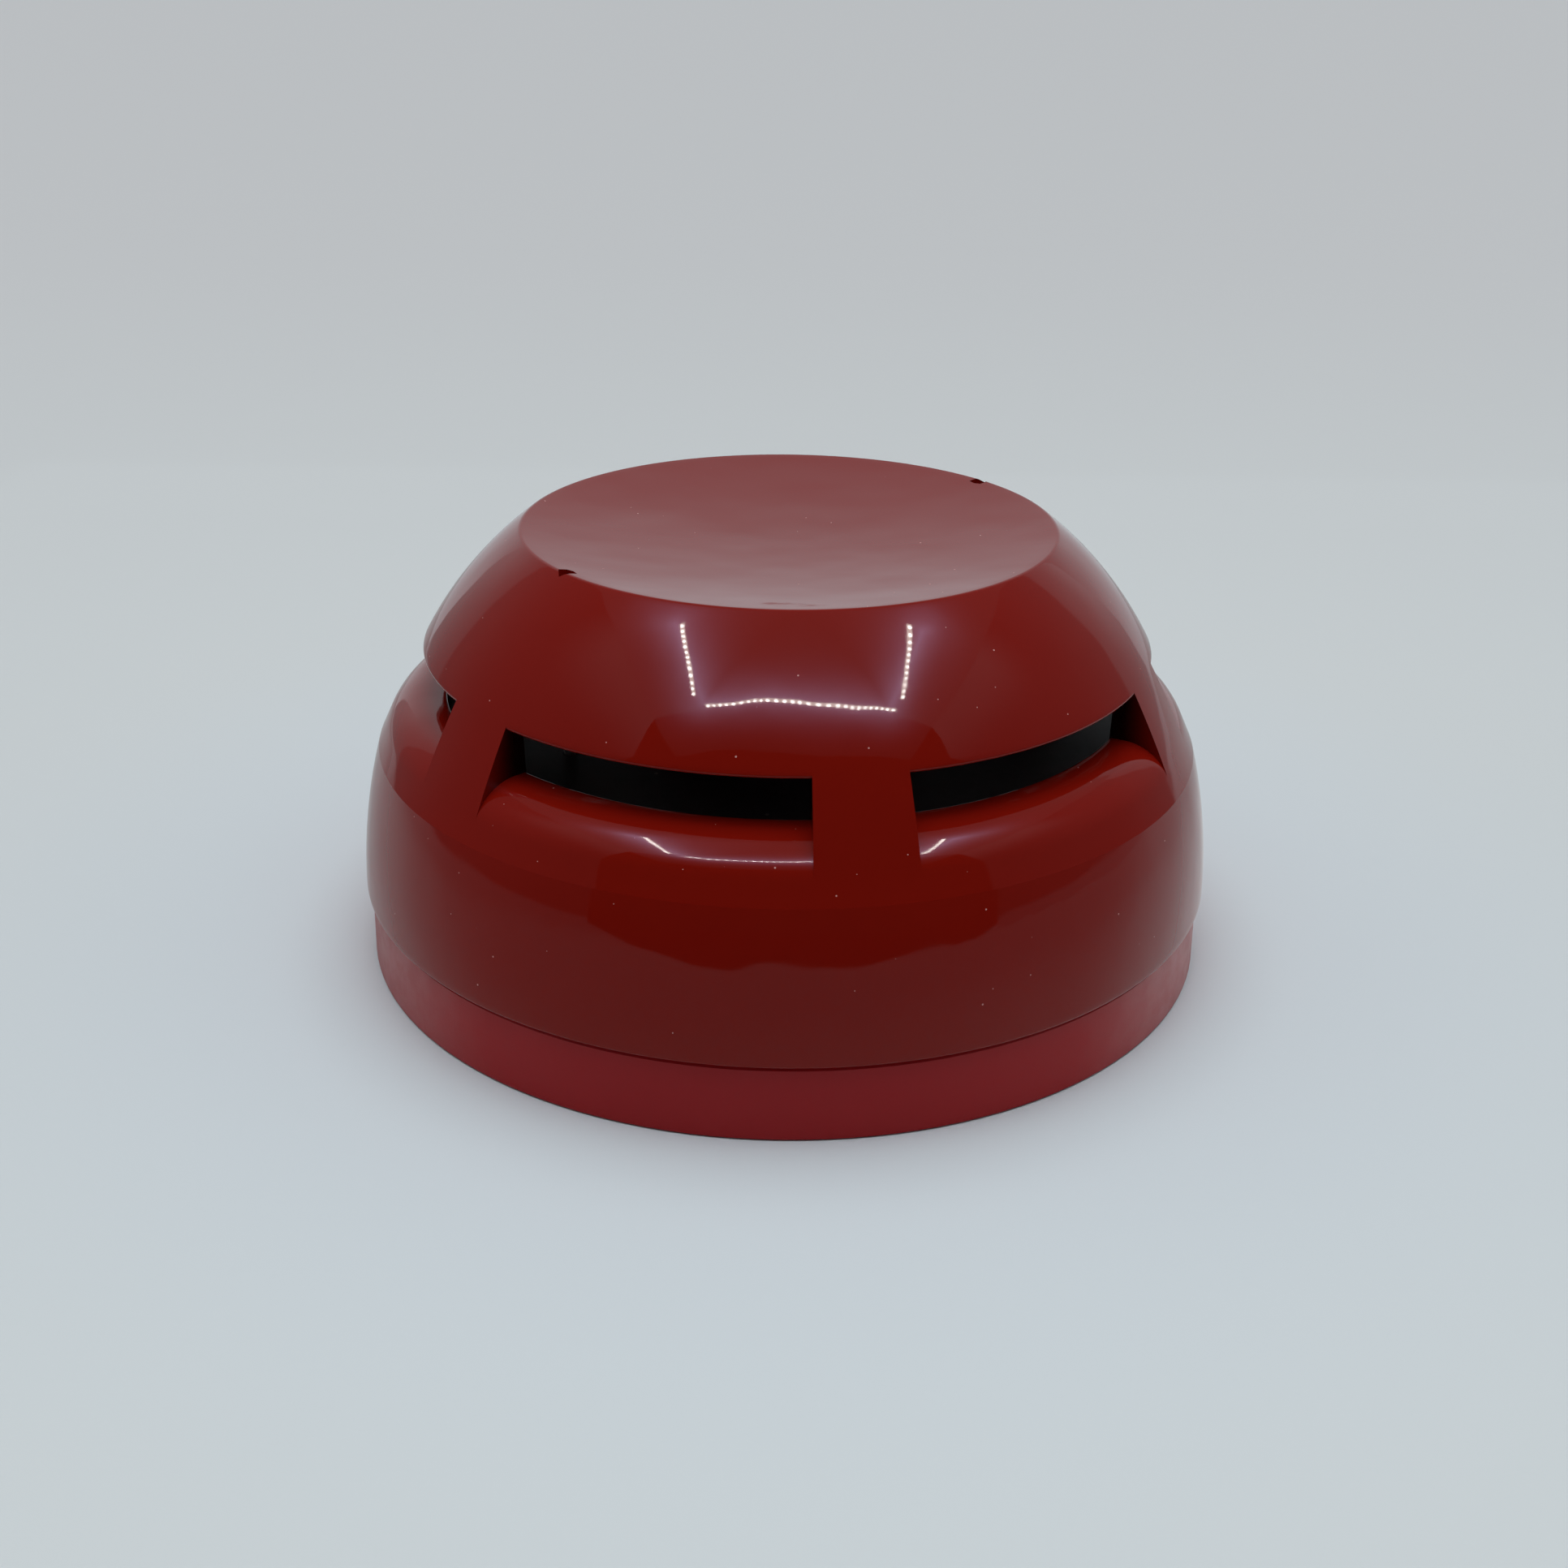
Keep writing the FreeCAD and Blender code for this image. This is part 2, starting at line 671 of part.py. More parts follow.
# ---------------------------------------------------------------- head chassis and board
def head_chassis():
    """Carrier plate with the bayonet wall and lugs below and board standoffs above."""
    body = new_body("head_chassis")
    top = "chassis_bottom + chassis_thickness"
    section = new_sketch(body, "XZ_Plane")
    add_outline(section, [
        ("0", "chassis_bottom"),
        ("bayonet_wall_inner", "chassis_bottom"),
        ("bayonet_wall_inner", "lug_bottom"),
        ("bayonet_wall_outer", "lug_bottom"),
        ("bayonet_wall_outer", "chassis_bottom"),
        ("chassis_radius", "chassis_bottom"),
        ("chassis_radius", top),
        ("0", top),
    ])
    revolve(body, section)
    lug = new_sketch(body, "XZ_Plane", turn=LUG_AZIMUTH)
    add_outline(lug, rectangle("bayonet_wall_outer - overlap", "lug_outer", "lug_bottom", "lug_top"))
    lugs = revolve(body, lug, "lug_angle")
    standoff = new_sketch(body, "XY_Plane", top, STANDOFF_AZIMUTH)
    add_circle(standoff, "standoff_orbit", "0", "standoff_radius")
    add_circle(standoff, "standoff_orbit", "0", "board_screw_radius + thread_clearance")
    standoffs = pad(body, standoff, "board_bottom - chassis_bottom - chassis_thickness")
    hole = new_sketch(body, "XY_Plane", top, SIZES["post_azimuth"])
    add_circle(hole, "boss_orbit", "0", "cover_screw_radius + hole_clearance")
    holes = pocket(body, hole, "chassis_thickness")
    repeat(body, [lugs, standoffs, holes], LIP_COUNT)
    leg = leg_slot(body, top)
    slots = pocket(body, leg, "chassis_thickness")
    repeat(body, [slots], len(TERMINAL_AZIMUTHS))
    return keep(body, "head_chassis")


def leg_slot(body, level):
    """Outline of the slot that a contact blade's leg passes through."""
    sketch = new_sketch(body, "XY_Plane", level, TERMINAL_AZIMUTHS[0])
    middle = "(blade_start + blade_end) / 2"
    add_outline(sketch, rectangle(
        "station_radius - leg_width / 2 - leg_clearance", "station_radius + leg_width / 2 + leg_clearance",
        middle + " - leg_sheet / 2 - leg_clearance", middle + " + leg_sheet / 2 + leg_clearance"))
    return sketch


def contact_blade(label, azimuth):
    """Flat blade under the chassis that meets a spring contact, with its leg to the board."""
    body = new_body(label)
    under = "chassis_bottom - blade_sheet"
    blade = new_sketch(body, "XY_Plane", under)
    add_outline(blade, rectangle("station_radius - blade_width / 2", "station_radius + blade_width / 2",
                                 "blade_start", "blade_end"))
    pad(body, blade, "blade_sheet")
    middle = "(blade_start + blade_end) / 2"
    leg = new_sketch(body, "XY_Plane", under)
    add_outline(leg, rectangle("station_radius - leg_width / 2", "station_radius + leg_width / 2",
                               middle + " - leg_sheet / 2", middle + " + leg_sheet / 2"))
    pad(body, leg, "leg_top - chassis_bottom + blade_sheet")
    return keep(body, label, azimuth)


def small_screws(label, orbit, azimuth, seat, shank_radius, shank_length, head_radius, head_up):
    """Three pan-head screws on a circle that share one node."""
    body = new_body(label)
    shank = new_sketch(body, "XY_Plane", seat + " - " + shank_length if head_up else seat)
    add_circle(shank, orbit, "0", shank_radius)
    features = [pad(body, shank, shank_length)]
    head = new_sketch(body, "XY_Plane", seat if head_up else seat + " - small_head_height")
    add_circle(head, orbit, "0", head_radius)
    features.append(pad(body, head, "small_head_height"))
    repeat(body, features, LIP_COUNT)
    return keep(body, label, azimuth)


def circuit_board():
    """Round printed circuit board."""
    body = new_body("pcb")
    disc = new_sketch(body, "XY_Plane", "board_bottom")
    add_circle(disc, "0", "0", "board_radius")
    pad(body, disc, "board_thickness")
    top = "board_bottom + board_thickness"
    hole = new_sketch(body, "XY_Plane", top, STANDOFF_AZIMUTH)
    add_circle(hole, "standoff_orbit", "0", "board_screw_radius + hole_clearance")
    repeat(body, [pocket(body, hole, "board_thickness")], LIP_COUNT)
    leg = leg_slot(body, top)
    repeat(body, [pocket(body, leg, "board_thickness")], len(TERMINAL_AZIMUTHS))
    pads = new_sketch(body, "XY_Plane", top)
    add_circle(pads, "lead_pitch / 2", "0", "lead_radius + thread_clearance")
    repeat(body, [pocket(body, pads, "board_thickness")], 2)
    return keep(body, "pcb")


def board_components():
    """The parts soldered on the board's upper side."""
    for label, place_and_size in CHIPS.items():
        chip(label, *place_and_size)
    for label, layout in CHIP_ROWS.items():
        chip_row(label, *layout)
    can = new_body("electrolytic_capacitor")
    top = "board_bottom + board_thickness"
    section = new_sketch(can, "XZ_Plane")
    add_outline(section, [
        ("0", top),
        ("can_radius", top),
        ("can_radius", top + " + can_height - can_bevel"),
        ("can_radius - can_bevel", top + " + can_height"),
        ("0", top + " + can_height"),
    ])
    revolve(can, section)
    keep(can, "electrolytic_capacitor")
    can.Placement = turned(CAPACITOR_AZIMUTH, CAPACITOR_ORBIT)


def rating_label():
    """Blank adhesive label in the middle of the chassis underside."""
    label = document.addObject("Part::Box", "label_sheet")
    bind(label, Length="label_length", Width="label_width", Height="label_sheet")
    bind(label, **{"Placement.Base.x": "-label_length / 2", "Placement.Base.y": "-label_width / 2",
                   "Placement.Base.z": "chassis_bottom - label_sheet"})
    return keep(label, "rating_label")


# ---------------------------------------------------------------- sensing chamber
def inner_baffle():
    """Black floor of the sensing chamber with a barred guard round the thermistor."""
    body = new_body("inner_baffle")
    under = "baffle_top - baffle_thickness"
    section = new_sketch(body, "XZ_Plane")
    add_outline(section, [
        ("holder_radius + hole_clearance", under),
        ("baffle_radius", under),
        ("baffle_radius", "baffle_top"),
        ("guard_radius * 2", "baffle_top"),
        ("guard_radius", "guard_level"),
        ("guard_bore", "guard_level"),
        ("guard_bore", "baffle_top"),
        ("holder_radius + hole_clearance", "baffle_top"),
    ])
    revolve(body, section)
    bar = new_sketch(body, "XZ_Plane")
    add_outline(bar, rectangle("bar_inner", "bar_outer", "guard_level - overlap", "guard_top"))
    bars = pad(body, bar, "bar_width", midplane=True)
    repeat(body, [bars], GUARD_BAR_COUNT)
    crown = new_sketch(body, "XZ_Plane")
    add_outline(crown, rectangle("crown_inner", "crown_outer", "guard_top - thread_clearance",
                                 "guard_top + crown_height"))
    revolve(body, crown)
    notch = new_sketch(body, "XY_Plane", "baffle_top + 1", SIZES["post_azimuth"])
    add_circle(notch, "boss_orbit", "0", "boss_radius + boss_clearance")
    repeat(body, [pocket(body, notch, "baffle_thickness + 2")], LIP_COUNT)
    pipe_hole = new_sketch(body, "XY_Plane", "baffle_top + 1", SIZES["post_azimuth"])
    add_circle(pipe_hole, "indicator_orbit", "-window_length / 4 - window_offset",
               "pipe_radius + pipe_clearance")
    repeat(body, [pocket(body, pipe_hole, "baffle_thickness + 2")], 2)
    return keep(body, "inner_baffle")


def thermistor():
    """Bead, its two leads and the insulating holder they run through."""
    leads = []
    for side in (-1, 1):
        lead = document.addObject("Part::Cylinder", "lead_wire")
        bind(lead, Radius="lead_radius", Height="bead_level - board_bottom + 0.2")
        bind(lead, **{"Placement.Base.x": "%d * lead_pitch / 2" % side,
                      "Placement.Base.z": "board_bottom - 0.6"})
        leads.append(lead)
    pair = document.addObject("Part::Compound", "lead_pair")
    pair.Links = leads
    keep(pair, "thermistor_leads")
    ball = document.addObject("Part::Sphere", "bead_ball")
    bind(ball, Radius="bead_radius")
    bind(ball, **{"Placement.Base.z": "bead_level"})
    bead = document.addObject("Part::Cut", "bead_cut")
    bead.Base, bead.Tool = ball, pair
    keep(bead, "thermistor_bead")
    body = new_body("thermistor_holder")
    level = "board_bottom + board_thickness"
    sleeve = new_sketch(body, "XY_Plane", level)
    add_circle(sleeve, "0", "0", "holder_radius")
    pad(body, sleeve, "holder_top - board_bottom - board_thickness")
    bore = new_sketch(body, "XY_Plane", "holder_top")
    add_circle(bore, "lead_pitch / 2", "0", "lead_radius + thread_clearance")
    repeat(body, [pocket(body, bore, "holder_top - board_bottom - board_thickness")], 2)
    keep(body, "thermistor_holder")


def led(label, azimuth):
    """Three-millimetre indicator lamp with a domed lens and a flange."""
    body = new_body(label)
    seat = "board_bottom + board_thickness"
    section = new_sketch(body, "XZ_Plane")
    add_outline(section, [
        ("0", seat),
        ("led_flange", seat),
        ("led_flange", seat + " + led_flange_height"),
        ("led_radius", seat + " + led_flange_height"),
        ("led_radius", "led_top - led_radius"),
        ("0", "led_top"),
    ], {4: ("led_radius", True)})
    revolve(body, section)
    keep(body, label)
    body.Placement = indicator_place(azimuth)


def light_pipe(label, azimuth):
    """Clear rod that carries the lamp's light to its window in the rim."""
    body = new_body(label)
    section = new_sketch(body, "XZ_Plane")
    add_outline(section, [
        ("0", "pipe_bottom"),
        ("pipe_foot_radius", "pipe_bottom"),
        ("pipe_foot_radius", "pipe_bottom + pipe_foot_height"),
        ("pipe_radius", "pipe_bottom + pipe_foot_height + pipe_taper"),
        ("pipe_radius", "height - window_depth"),
        ("0", "height - window_depth"),
    ])
    revolve(body, section)
    keep(body, label)
    body.Placement = indicator_place(azimuth)


def indicator_place(half_turn):
    """Placement over the light-pipe bore, in the cover's own azimuth."""
    return turned(SIZES["post_azimuth"] + half_turn, number("indicator_orbit"),
                  number("-window_length / 4 - window_offset"))


# ---------------------------------------------------------------- assembly
def build():
    mounting_base()
    for index, azimuth in enumerate(TERMINAL_AZIMUTHS, start=1):
        base_contact("base_contact_%d" % index, azimuth)
        clamp_plate("clamp_plate_%d" % index, azimuth)
        terminal_screw("terminal_screw_%d" % index, azimuth)
        contact_blade("contact_blade_%d" % index, azimuth)
    locking_screw()
    outer_cover()
    head_chassis()
    circuit_board()
    board_components()
    small_screws("pcb_screws", "standoff_orbit", STANDOFF_AZIMUTH, "board_bottom + board_thickness",
                 "board_screw_radius", "board_screw_length", "board_screw_head", head_up=True)
    small_screws("cover_screws", "boss_orbit", SIZES["post_azimuth"], "chassis_bottom",
                 "cover_screw_radius", "cover_screw_length", "cover_screw_head", head_up=False)
    rating_label()
    inner_baffle()
    thermistor()
    for index, half_turn in enumerate(INDICATOR_TURNS, start=1):
        led("led_%d" % index, half_turn)
        light_pipe("light_pipe_%d" % index, half_turn)


def check_and_export():
    """Refuse a failed or invalid object, then write one STEP file per node."""
    document.recompute()
    for item in document.Objects:
        if "Invalid" in item.State or "Error" in item.State:
            raise RuntimeError("%s failed: %s" % (item.Label, item.State))
    for item in nodes:
        if item.Shape.isNull() or not item.Shape.isValid():
            raise RuntimeError("%s has no valid shape" % item.Label)
    os.makedirs("parts", exist_ok=True)
    for item in nodes:
        item.Shape.exportStep("parts/%s.step" % item.Label)
    print("wrote %d nodes" % len(nodes))


build()
check_and_export()
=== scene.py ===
"""Looks of the point heat detector: meshes, materials, light tent and camera.

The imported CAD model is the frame. Outlines and places below are in millimetres and are scaled to
metres when they are used. Azimuths are degrees about Z, anticlockwise seen from the dome.
"""
import json
import math

import bmesh
import bpy
from mathutils import Matrix, Vector


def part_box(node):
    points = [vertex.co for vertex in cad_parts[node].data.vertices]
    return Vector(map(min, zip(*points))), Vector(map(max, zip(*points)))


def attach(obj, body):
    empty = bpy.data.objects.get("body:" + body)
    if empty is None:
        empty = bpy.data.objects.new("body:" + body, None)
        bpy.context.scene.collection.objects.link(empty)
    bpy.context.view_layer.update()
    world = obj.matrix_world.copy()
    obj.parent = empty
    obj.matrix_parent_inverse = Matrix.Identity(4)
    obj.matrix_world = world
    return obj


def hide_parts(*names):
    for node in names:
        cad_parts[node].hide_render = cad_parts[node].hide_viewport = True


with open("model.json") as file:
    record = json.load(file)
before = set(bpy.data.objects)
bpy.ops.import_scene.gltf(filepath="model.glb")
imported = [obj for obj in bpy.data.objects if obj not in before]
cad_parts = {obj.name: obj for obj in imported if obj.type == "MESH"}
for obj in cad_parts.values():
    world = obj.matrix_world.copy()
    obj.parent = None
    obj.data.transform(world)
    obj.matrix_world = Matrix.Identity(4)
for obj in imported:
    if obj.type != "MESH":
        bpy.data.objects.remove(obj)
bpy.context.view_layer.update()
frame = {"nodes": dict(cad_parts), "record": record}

MM = 0.001

# ---------------------------------------------------------------- sizes, millimetres
cover_low, cover_high = (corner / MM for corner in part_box("outer_cover"))

SKIRT_RADIUS = cover_high.x
SKIRT_BOTTOM = cover_low.z
HEIGHT = cover_high.z
WALL = 2.0
SKIRT_EDGE = 0.3
SKIRT_BOW = 61.4
CREASE = (SKIRT_RADIUS - 2.6, SKIRT_BOTTOM + 16.65)
INNER_BEND_DROP = 0.5
FACE_ANGLE = math.radians(25.8)
SHOULDER_CENTRE = (SKIRT_RADIUS - 9.1, SKIRT_BOTTOM + 16.7)
SHOULDER_RADIUS = 5.85
CREST_RADIUS = SKIRT_RADIUS - 10.8
CREST_ROUND = 0.3
POST_BOW = 120.0
LIP = (SKIRT_RADIUS - 8.2, HEIGHT - 13.5)
LIP_ROUND = 0.3
DOME_BOW = 42.0
RIM = (SKIRT_RADIUS - 19.9, HEIGHT)
RIM_ROUND = 0.6
DISH_DEPTH = 2.6

SLOT_COUNT = 6
SLOT_ANGLE = 46.7
SLOT_STEPS = 42
POST_ANGLE = 360 / SLOT_COUNT - SLOT_ANGLE
POST_STEPS = 12
POST_AZIMUTH = 40.1

# Corners of an indicator window: distance from the axis along a post's azimuth, offset beside it.
WINDOW_PLAN = ((30.55, -1.6), (31.25, -0.5), (30.65, 0.3), (29.55, 0.45), (29.35, -0.55),
               (29.6, -1.35))
WINDOW_DEPTH = 1.0
CUT_ABOVE = 1.0
PIPE_BORE = 0.85
PIPE_TOP_GAP = 0.05
BORE_DEPTH = 2 * WALL
BORE_SEGMENTS = 32

WELD_DISTANCE = 2e-4
COLLAPSED_LENGTH = 1e-5
SAME_PLACE = 0.001
SHARP_ANGLE = math.radians(30)


# ---------------------------------------------------------------- outline geometry
def polar(centre, radius, angle):
    return (centre[0] + radius * math.cos(angle), centre[1] + radius * math.sin(angle))


def arc_centre(start, end, radius, side=1):
    """Centre of the arc from start to end; side 1 puts it on the left of the chord."""
    dx, dy = end[0] - start[0], end[1] - start[1]
    chord = math.hypot(dx, dy)
    reach = math.sqrt(radius ** 2 - chord ** 2 / 4) * side / chord
    return ((start[0] + end[0]) / 2 - dy * reach, (start[1] + end[1]) / 2 + dx * reach)


def arc(start, end, centre, steps):
    """Points along the shorter arc about centre, both ends included."""
    first = math.atan2(start[1] - centre[1], start[0] - centre[0])
    last = math.atan2(end[1] - centre[1], end[0] - centre[0])
    turn = (last - first + math.pi) % (2 * math.pi) - math.pi
    radius = math.dist(start, centre)
    inner = [polar(centre, radius, first + turn * index / steps) for index in range(1, steps)]
    return [start] + inner + [end]


def line(start, end, steps):
    return [(start[0] + (end[0] - start[0]) * index / steps,
             start[1] + (end[1] - start[1]) * index / steps) for index in range(steps + 1)]


def join(*runs):
    """Chain runs of points, dropping each shared end."""
    chain = list(runs[0])
    for run in runs[1:]:
        chain += run[1:]
    return chain


def circles_meet(centre_a, radius_a, centre_b, radius_b, near):
    """The crossing of two circles that lies nearer to a given point."""
    dx, dy = centre_b[0] - centre_a[0], centre_b[1] - centre_a[1]
    gap = math.hypot(dx, dy)
    along = (radius_a ** 2 - radius_b ** 2 + gap ** 2) / (2 * gap)
    across = math.sqrt(radius_a ** 2 - along ** 2)
    foot = (centre_a[0] + dx * along / gap, centre_a[1] + dy * along / gap)
    crossings = [(foot[0] - dy * across * sign / gap, foot[1] + dx * across * sign / gap)
                 for sign in (1, -1)]
    return min(crossings, key=lambda point: math.dist(point, near))


def towards(origin, target, distance):
    gap = math.dist(origin, target)
    return (origin[0] + (target[0] - origin[0]) * distance / gap,
            origin[1] + (target[1] - origin[1]) * distance / gap)


class CoverOutline:
    """Runs of (radius, level) points that bound the cover's wall in a radial plane."""

    def __init__(self):
        self.dome_centre = arc_centre(LIP, RIM, DOME_BOW)
        self.tangent = polar(SHOULDER_CENTRE, SHOULDER_RADIUS, FACE_ANGLE)
        self.crest = SHOULDER_CENTRE[1] + SHOULDER_RADIUS
        self.flange = (CREST_RADIUS, self.crest - WALL)
        self.draw_skirt()
        self.draw_dome()
        self.draw_lip()
        self.draw_post()

    def draw_skirt(self):
        """The skirt and the shoulder above it, outside and inside."""
        edge_in = (SKIRT_RADIUS - WALL, SKIRT_BOTTOM)
        edge_out = (SKIRT_RADIUS - SKIRT_EDGE, SKIRT_BOTTOM)
        edge_up = (SKIRT_RADIUS, SKIRT_BOTTOM + SKIRT_EDGE)
        edge_centre = (edge_out[0], edge_up[1])
        bow_centre = arc_centre(edge_up, CREASE, SKIRT_BOW)
        self.skirt = join(line(edge_in, edge_out, 2), arc(edge_out, edge_up, edge_centre, 4),
                          arc(edge_up, CREASE, bow_centre, 26), line(CREASE, self.tangent, 4))

        crest_out = (SHOULDER_CENTRE[0], self.crest)
        crest_in = (CREST_RADIUS + CREST_ROUND, self.crest)
        crest_down = (CREST_RADIUS, self.crest - CREST_ROUND)
        crest_centre = (crest_in[0], crest_down[1])
        self.shoulder = join(arc(self.tangent, crest_out, SHOULDER_CENTRE, 22),
                             line(crest_out, crest_in, 3),
                             arc(crest_in, crest_down, crest_centre, 4),
                             line(crest_down, self.flange, 2))

        under_crest = (SHOULDER_CENTRE[0], self.crest - WALL)
        turn_out = polar(SHOULDER_CENTRE, SHOULDER_RADIUS - WALL, FACE_ANGLE)
        bend = (CREASE[0] - WALL, CREASE[1] - INNER_BEND_DROP)
        inner_bow_centre = arc_centre(bend, edge_in, SKIRT_BOW - WALL, -1)
        self.inside_skirt = join(line(self.flange, under_crest, 2),
                                 arc(under_crest, turn_out, SHOULDER_CENTRE, 8),
                                 line(turn_out, bend, 1),
                                 arc(bend, edge_in, inner_bow_centre, 10))

    def lip_rounding(self, reach):
        """Centre of a rounding on the lip, a given distance from the dome's centre."""
        centre, level = self.dome_centre, LIP[1] + LIP_ROUND
        return (centre[0] + math.sqrt(reach ** 2 - (level - centre[1]) ** 2), level)

    def draw_dome(self):
        """The dome from the lip to the rounded rim, and the dish, outside and inside."""
        dome, inner_bow = self.dome_centre, DOME_BOW - WALL
        dish_bow = (RIM[0] ** 2 + DISH_DEPTH ** 2) / (2 * DISH_DEPTH)
        dish = (0.0, HEIGHT - DISH_DEPTH + dish_bow)
        self.lip_up = towards(dome, self.lip_rounding(DOME_BOW - LIP_ROUND), DOME_BOW)
        self.inner_up = towards(dome, self.lip_rounding(inner_bow + LIP_ROUND), inner_bow)

        rim_centre = circles_meet(dome, DOME_BOW - RIM_ROUND, dish, dish_bow + RIM_ROUND, RIM)
        rim_out = towards(dome, rim_centre, DOME_BOW)
        rim_in = towards(dish, rim_centre, dish_bow)
        self.dome = join(arc(self.lip_up, rim_out, dome, 34), arc(rim_out, rim_in, rim_centre, 7),
                         arc(rim_in, (0.0, HEIGHT - DISH_DEPTH), dish, 30))

        corner = circles_meet(dome, inner_bow, dish, dish_bow + WALL, RIM)
        self.inside_dome = join(arc(self.inner_up, corner, dome, 14),
                                arc(corner, (0.0, HEIGHT - DISH_DEPTH - WALL), dish, 14))

    def draw_lip(self):
        """The underside of the dome's edge over the slots, rounded at both ends."""
        outer_centre = self.lip_rounding(DOME_BOW - LIP_ROUND)
        inner_centre = self.lip_rounding(DOME_BOW - WALL + LIP_ROUND)
        outer_under, inner_under = (outer_centre[0], LIP[1]), (inner_centre[0], LIP[1])
        self.lip = join(arc(self.lip_up, outer_under, outer_centre, 5),
                        line(outer_under, inner_under, 3),
                        arc(inner_under, self.inner_up, inner_centre, 5))

    def draw_post(self):
        """The post between two slots: its face, its back and the outline of its flank."""
        face_centre = arc_centre(self.tangent, LIP, POST_BOW)
        self.post_face = join(arc(self.tangent, LIP, face_centre, 16), line(LIP, self.lip_up, 1))
        self.post_back = line(self.flange, self.inner_up, 8)
        self.post_side = (self.shoulder + self.post_back[1:] + self.lip[::-1][1:]
                          + self.post_face[::-1][1:-1])


# ---------------------------------------------------------------- mesh helpers
def at(point, azimuth):
    """A (radius, level) point in millimetres, turned to its azimuth, in metres."""
    angle = math.radians(azimuth)
    return Vector((point[0] * math.cos(angle), point[0] * math.sin(angle), point[1])) * MM


def sweep(mesh, outline, azimuths):
    """Turn an outline through a list of azimuths and join neighbours with quads."""
    columns = [[mesh.verts.new(at(point, azimuth)) for point in outline] for azimuth in azimuths]
    for here, there in zip(columns, columns[1:]):
        for index in range(len(outline) - 1):
            mesh.faces.new((here[index], there[index], there[index + 1], here[index + 1]))


def divided(start, width, steps):
    return [start + width * index / steps for index in range(steps + 1)]


def mesh_object(name, mesh, materials=()):
    """Turn a bmesh into an object of the scene."""
    data = bpy.data.meshes.new(name)
    mesh.to_mesh(data)
    mesh.free()
    for material in materials:
        data.materials.append(material)
    item = bpy.data.objects.new(name, data)
    bpy.context.scene.collection.objects.link(item)
    return item


def clean(mesh):
    """Weld shared borders, drop the collapsed faces at the poles and face everything outwards."""
    bmesh.ops.remove_doubles(mesh, verts=mesh.verts, dist=WELD_DISTANCE * MM)
    bmesh.ops.dissolve_degenerate(mesh, edges=mesh.edges, dist=COLLAPSED_LENGTH * MM)
    bmesh.ops.recalc_face_normals(mesh, faces=mesh.faces)


def on_crease(vert):
    return (abs(vert.co.z / MM - CREASE[1]) < SAME_PLACE
            and abs(vert.co.xy.length / MM - CREASE[0]) < SAME_PLACE)


def shade(mesh):
    """Smooth shading, with sharp edges along the crease and where the surface really turns."""
    for face in mesh.faces:
        face.smooth = True
    for edge in mesh.edges:
        turns = len(edge.link_faces) != 2 or edge.calc_face_angle(0) >= SHARP_ANGLE
        edge.smooth = not turns and not all(on_crease(vert) for vert in edge.verts)


# ---------------------------------------------------------------- the cover
def window_cutter():
    """Two wedges that cut the indicator windows in the rim."""
    mesh = bmesh.new()
    for half_turn in (0, 180):
        turn = Matrix.Rotation(math.radians(POST_AZIMUTH + half_turn), 4, "Z")
        low, high = ([mesh.verts.new(turn @ Vector((x, y, level)) * MM) for x, y in WINDOW_PLAN]
                     for level in (HEIGHT - WINDOW_DEPTH, HEIGHT + CUT_ABOVE))
        mesh.faces.new(low[::-1])
        mesh.faces.new(high)
        for index in range(len(WINDOW_PLAN)):
            after = (index + 1) % len(WINDOW_PLAN)
            mesh.faces.new((low[index], low[after], high[after], high[index]))
    bmesh.ops.recalc_face_normals(mesh, faces=mesh.faces)
    return mesh_object("window_cutter", mesh)


def pipe_bore_cutter():
    """Two rods that bore the wall under the windows, where the light pipes of the CAD end."""
    mesh = bmesh.new()
    level = HEIGHT - WINDOW_DEPTH + PIPE_TOP_GAP - BORE_DEPTH / 2
    for node in ("light_pipe_1", "light_pipe_2"):
        low, high = (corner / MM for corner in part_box(node))
        axis = (low + high) / 2
        place = Matrix.Translation(Vector((axis.x, axis.y, level)) * MM)
        bmesh.ops.create_cone(mesh, cap_ends=True, segments=BORE_SEGMENTS, matrix=place,
                              radius1=PIPE_BORE * MM, radius2=PIPE_BORE * MM,
                              depth=BORE_DEPTH * MM)
    bmesh.ops.recalc_face_normals(mesh, faces=mesh.faces)
    return mesh_object("pipe_bore_cutter", mesh)


def cut_away(piece, cutters):
    """Subtract the cutters from the piece's own mesh, then remove them."""
    for cutter in cutters:
        cut = piece.modifiers.new(cutter.name, "BOOLEAN")
        cut.object = cutter
        cut.solver = "EXACT"
    evaluated = piece.evaluated_get(bpy.context.evaluated_depsgraph_get())
    baked = bpy.data.meshes.new_from_object(evaluated)
    piece.modifiers.clear()
    piece.data = baked
    for cutter in cutters:
        bpy.data.objects.remove(cutter)


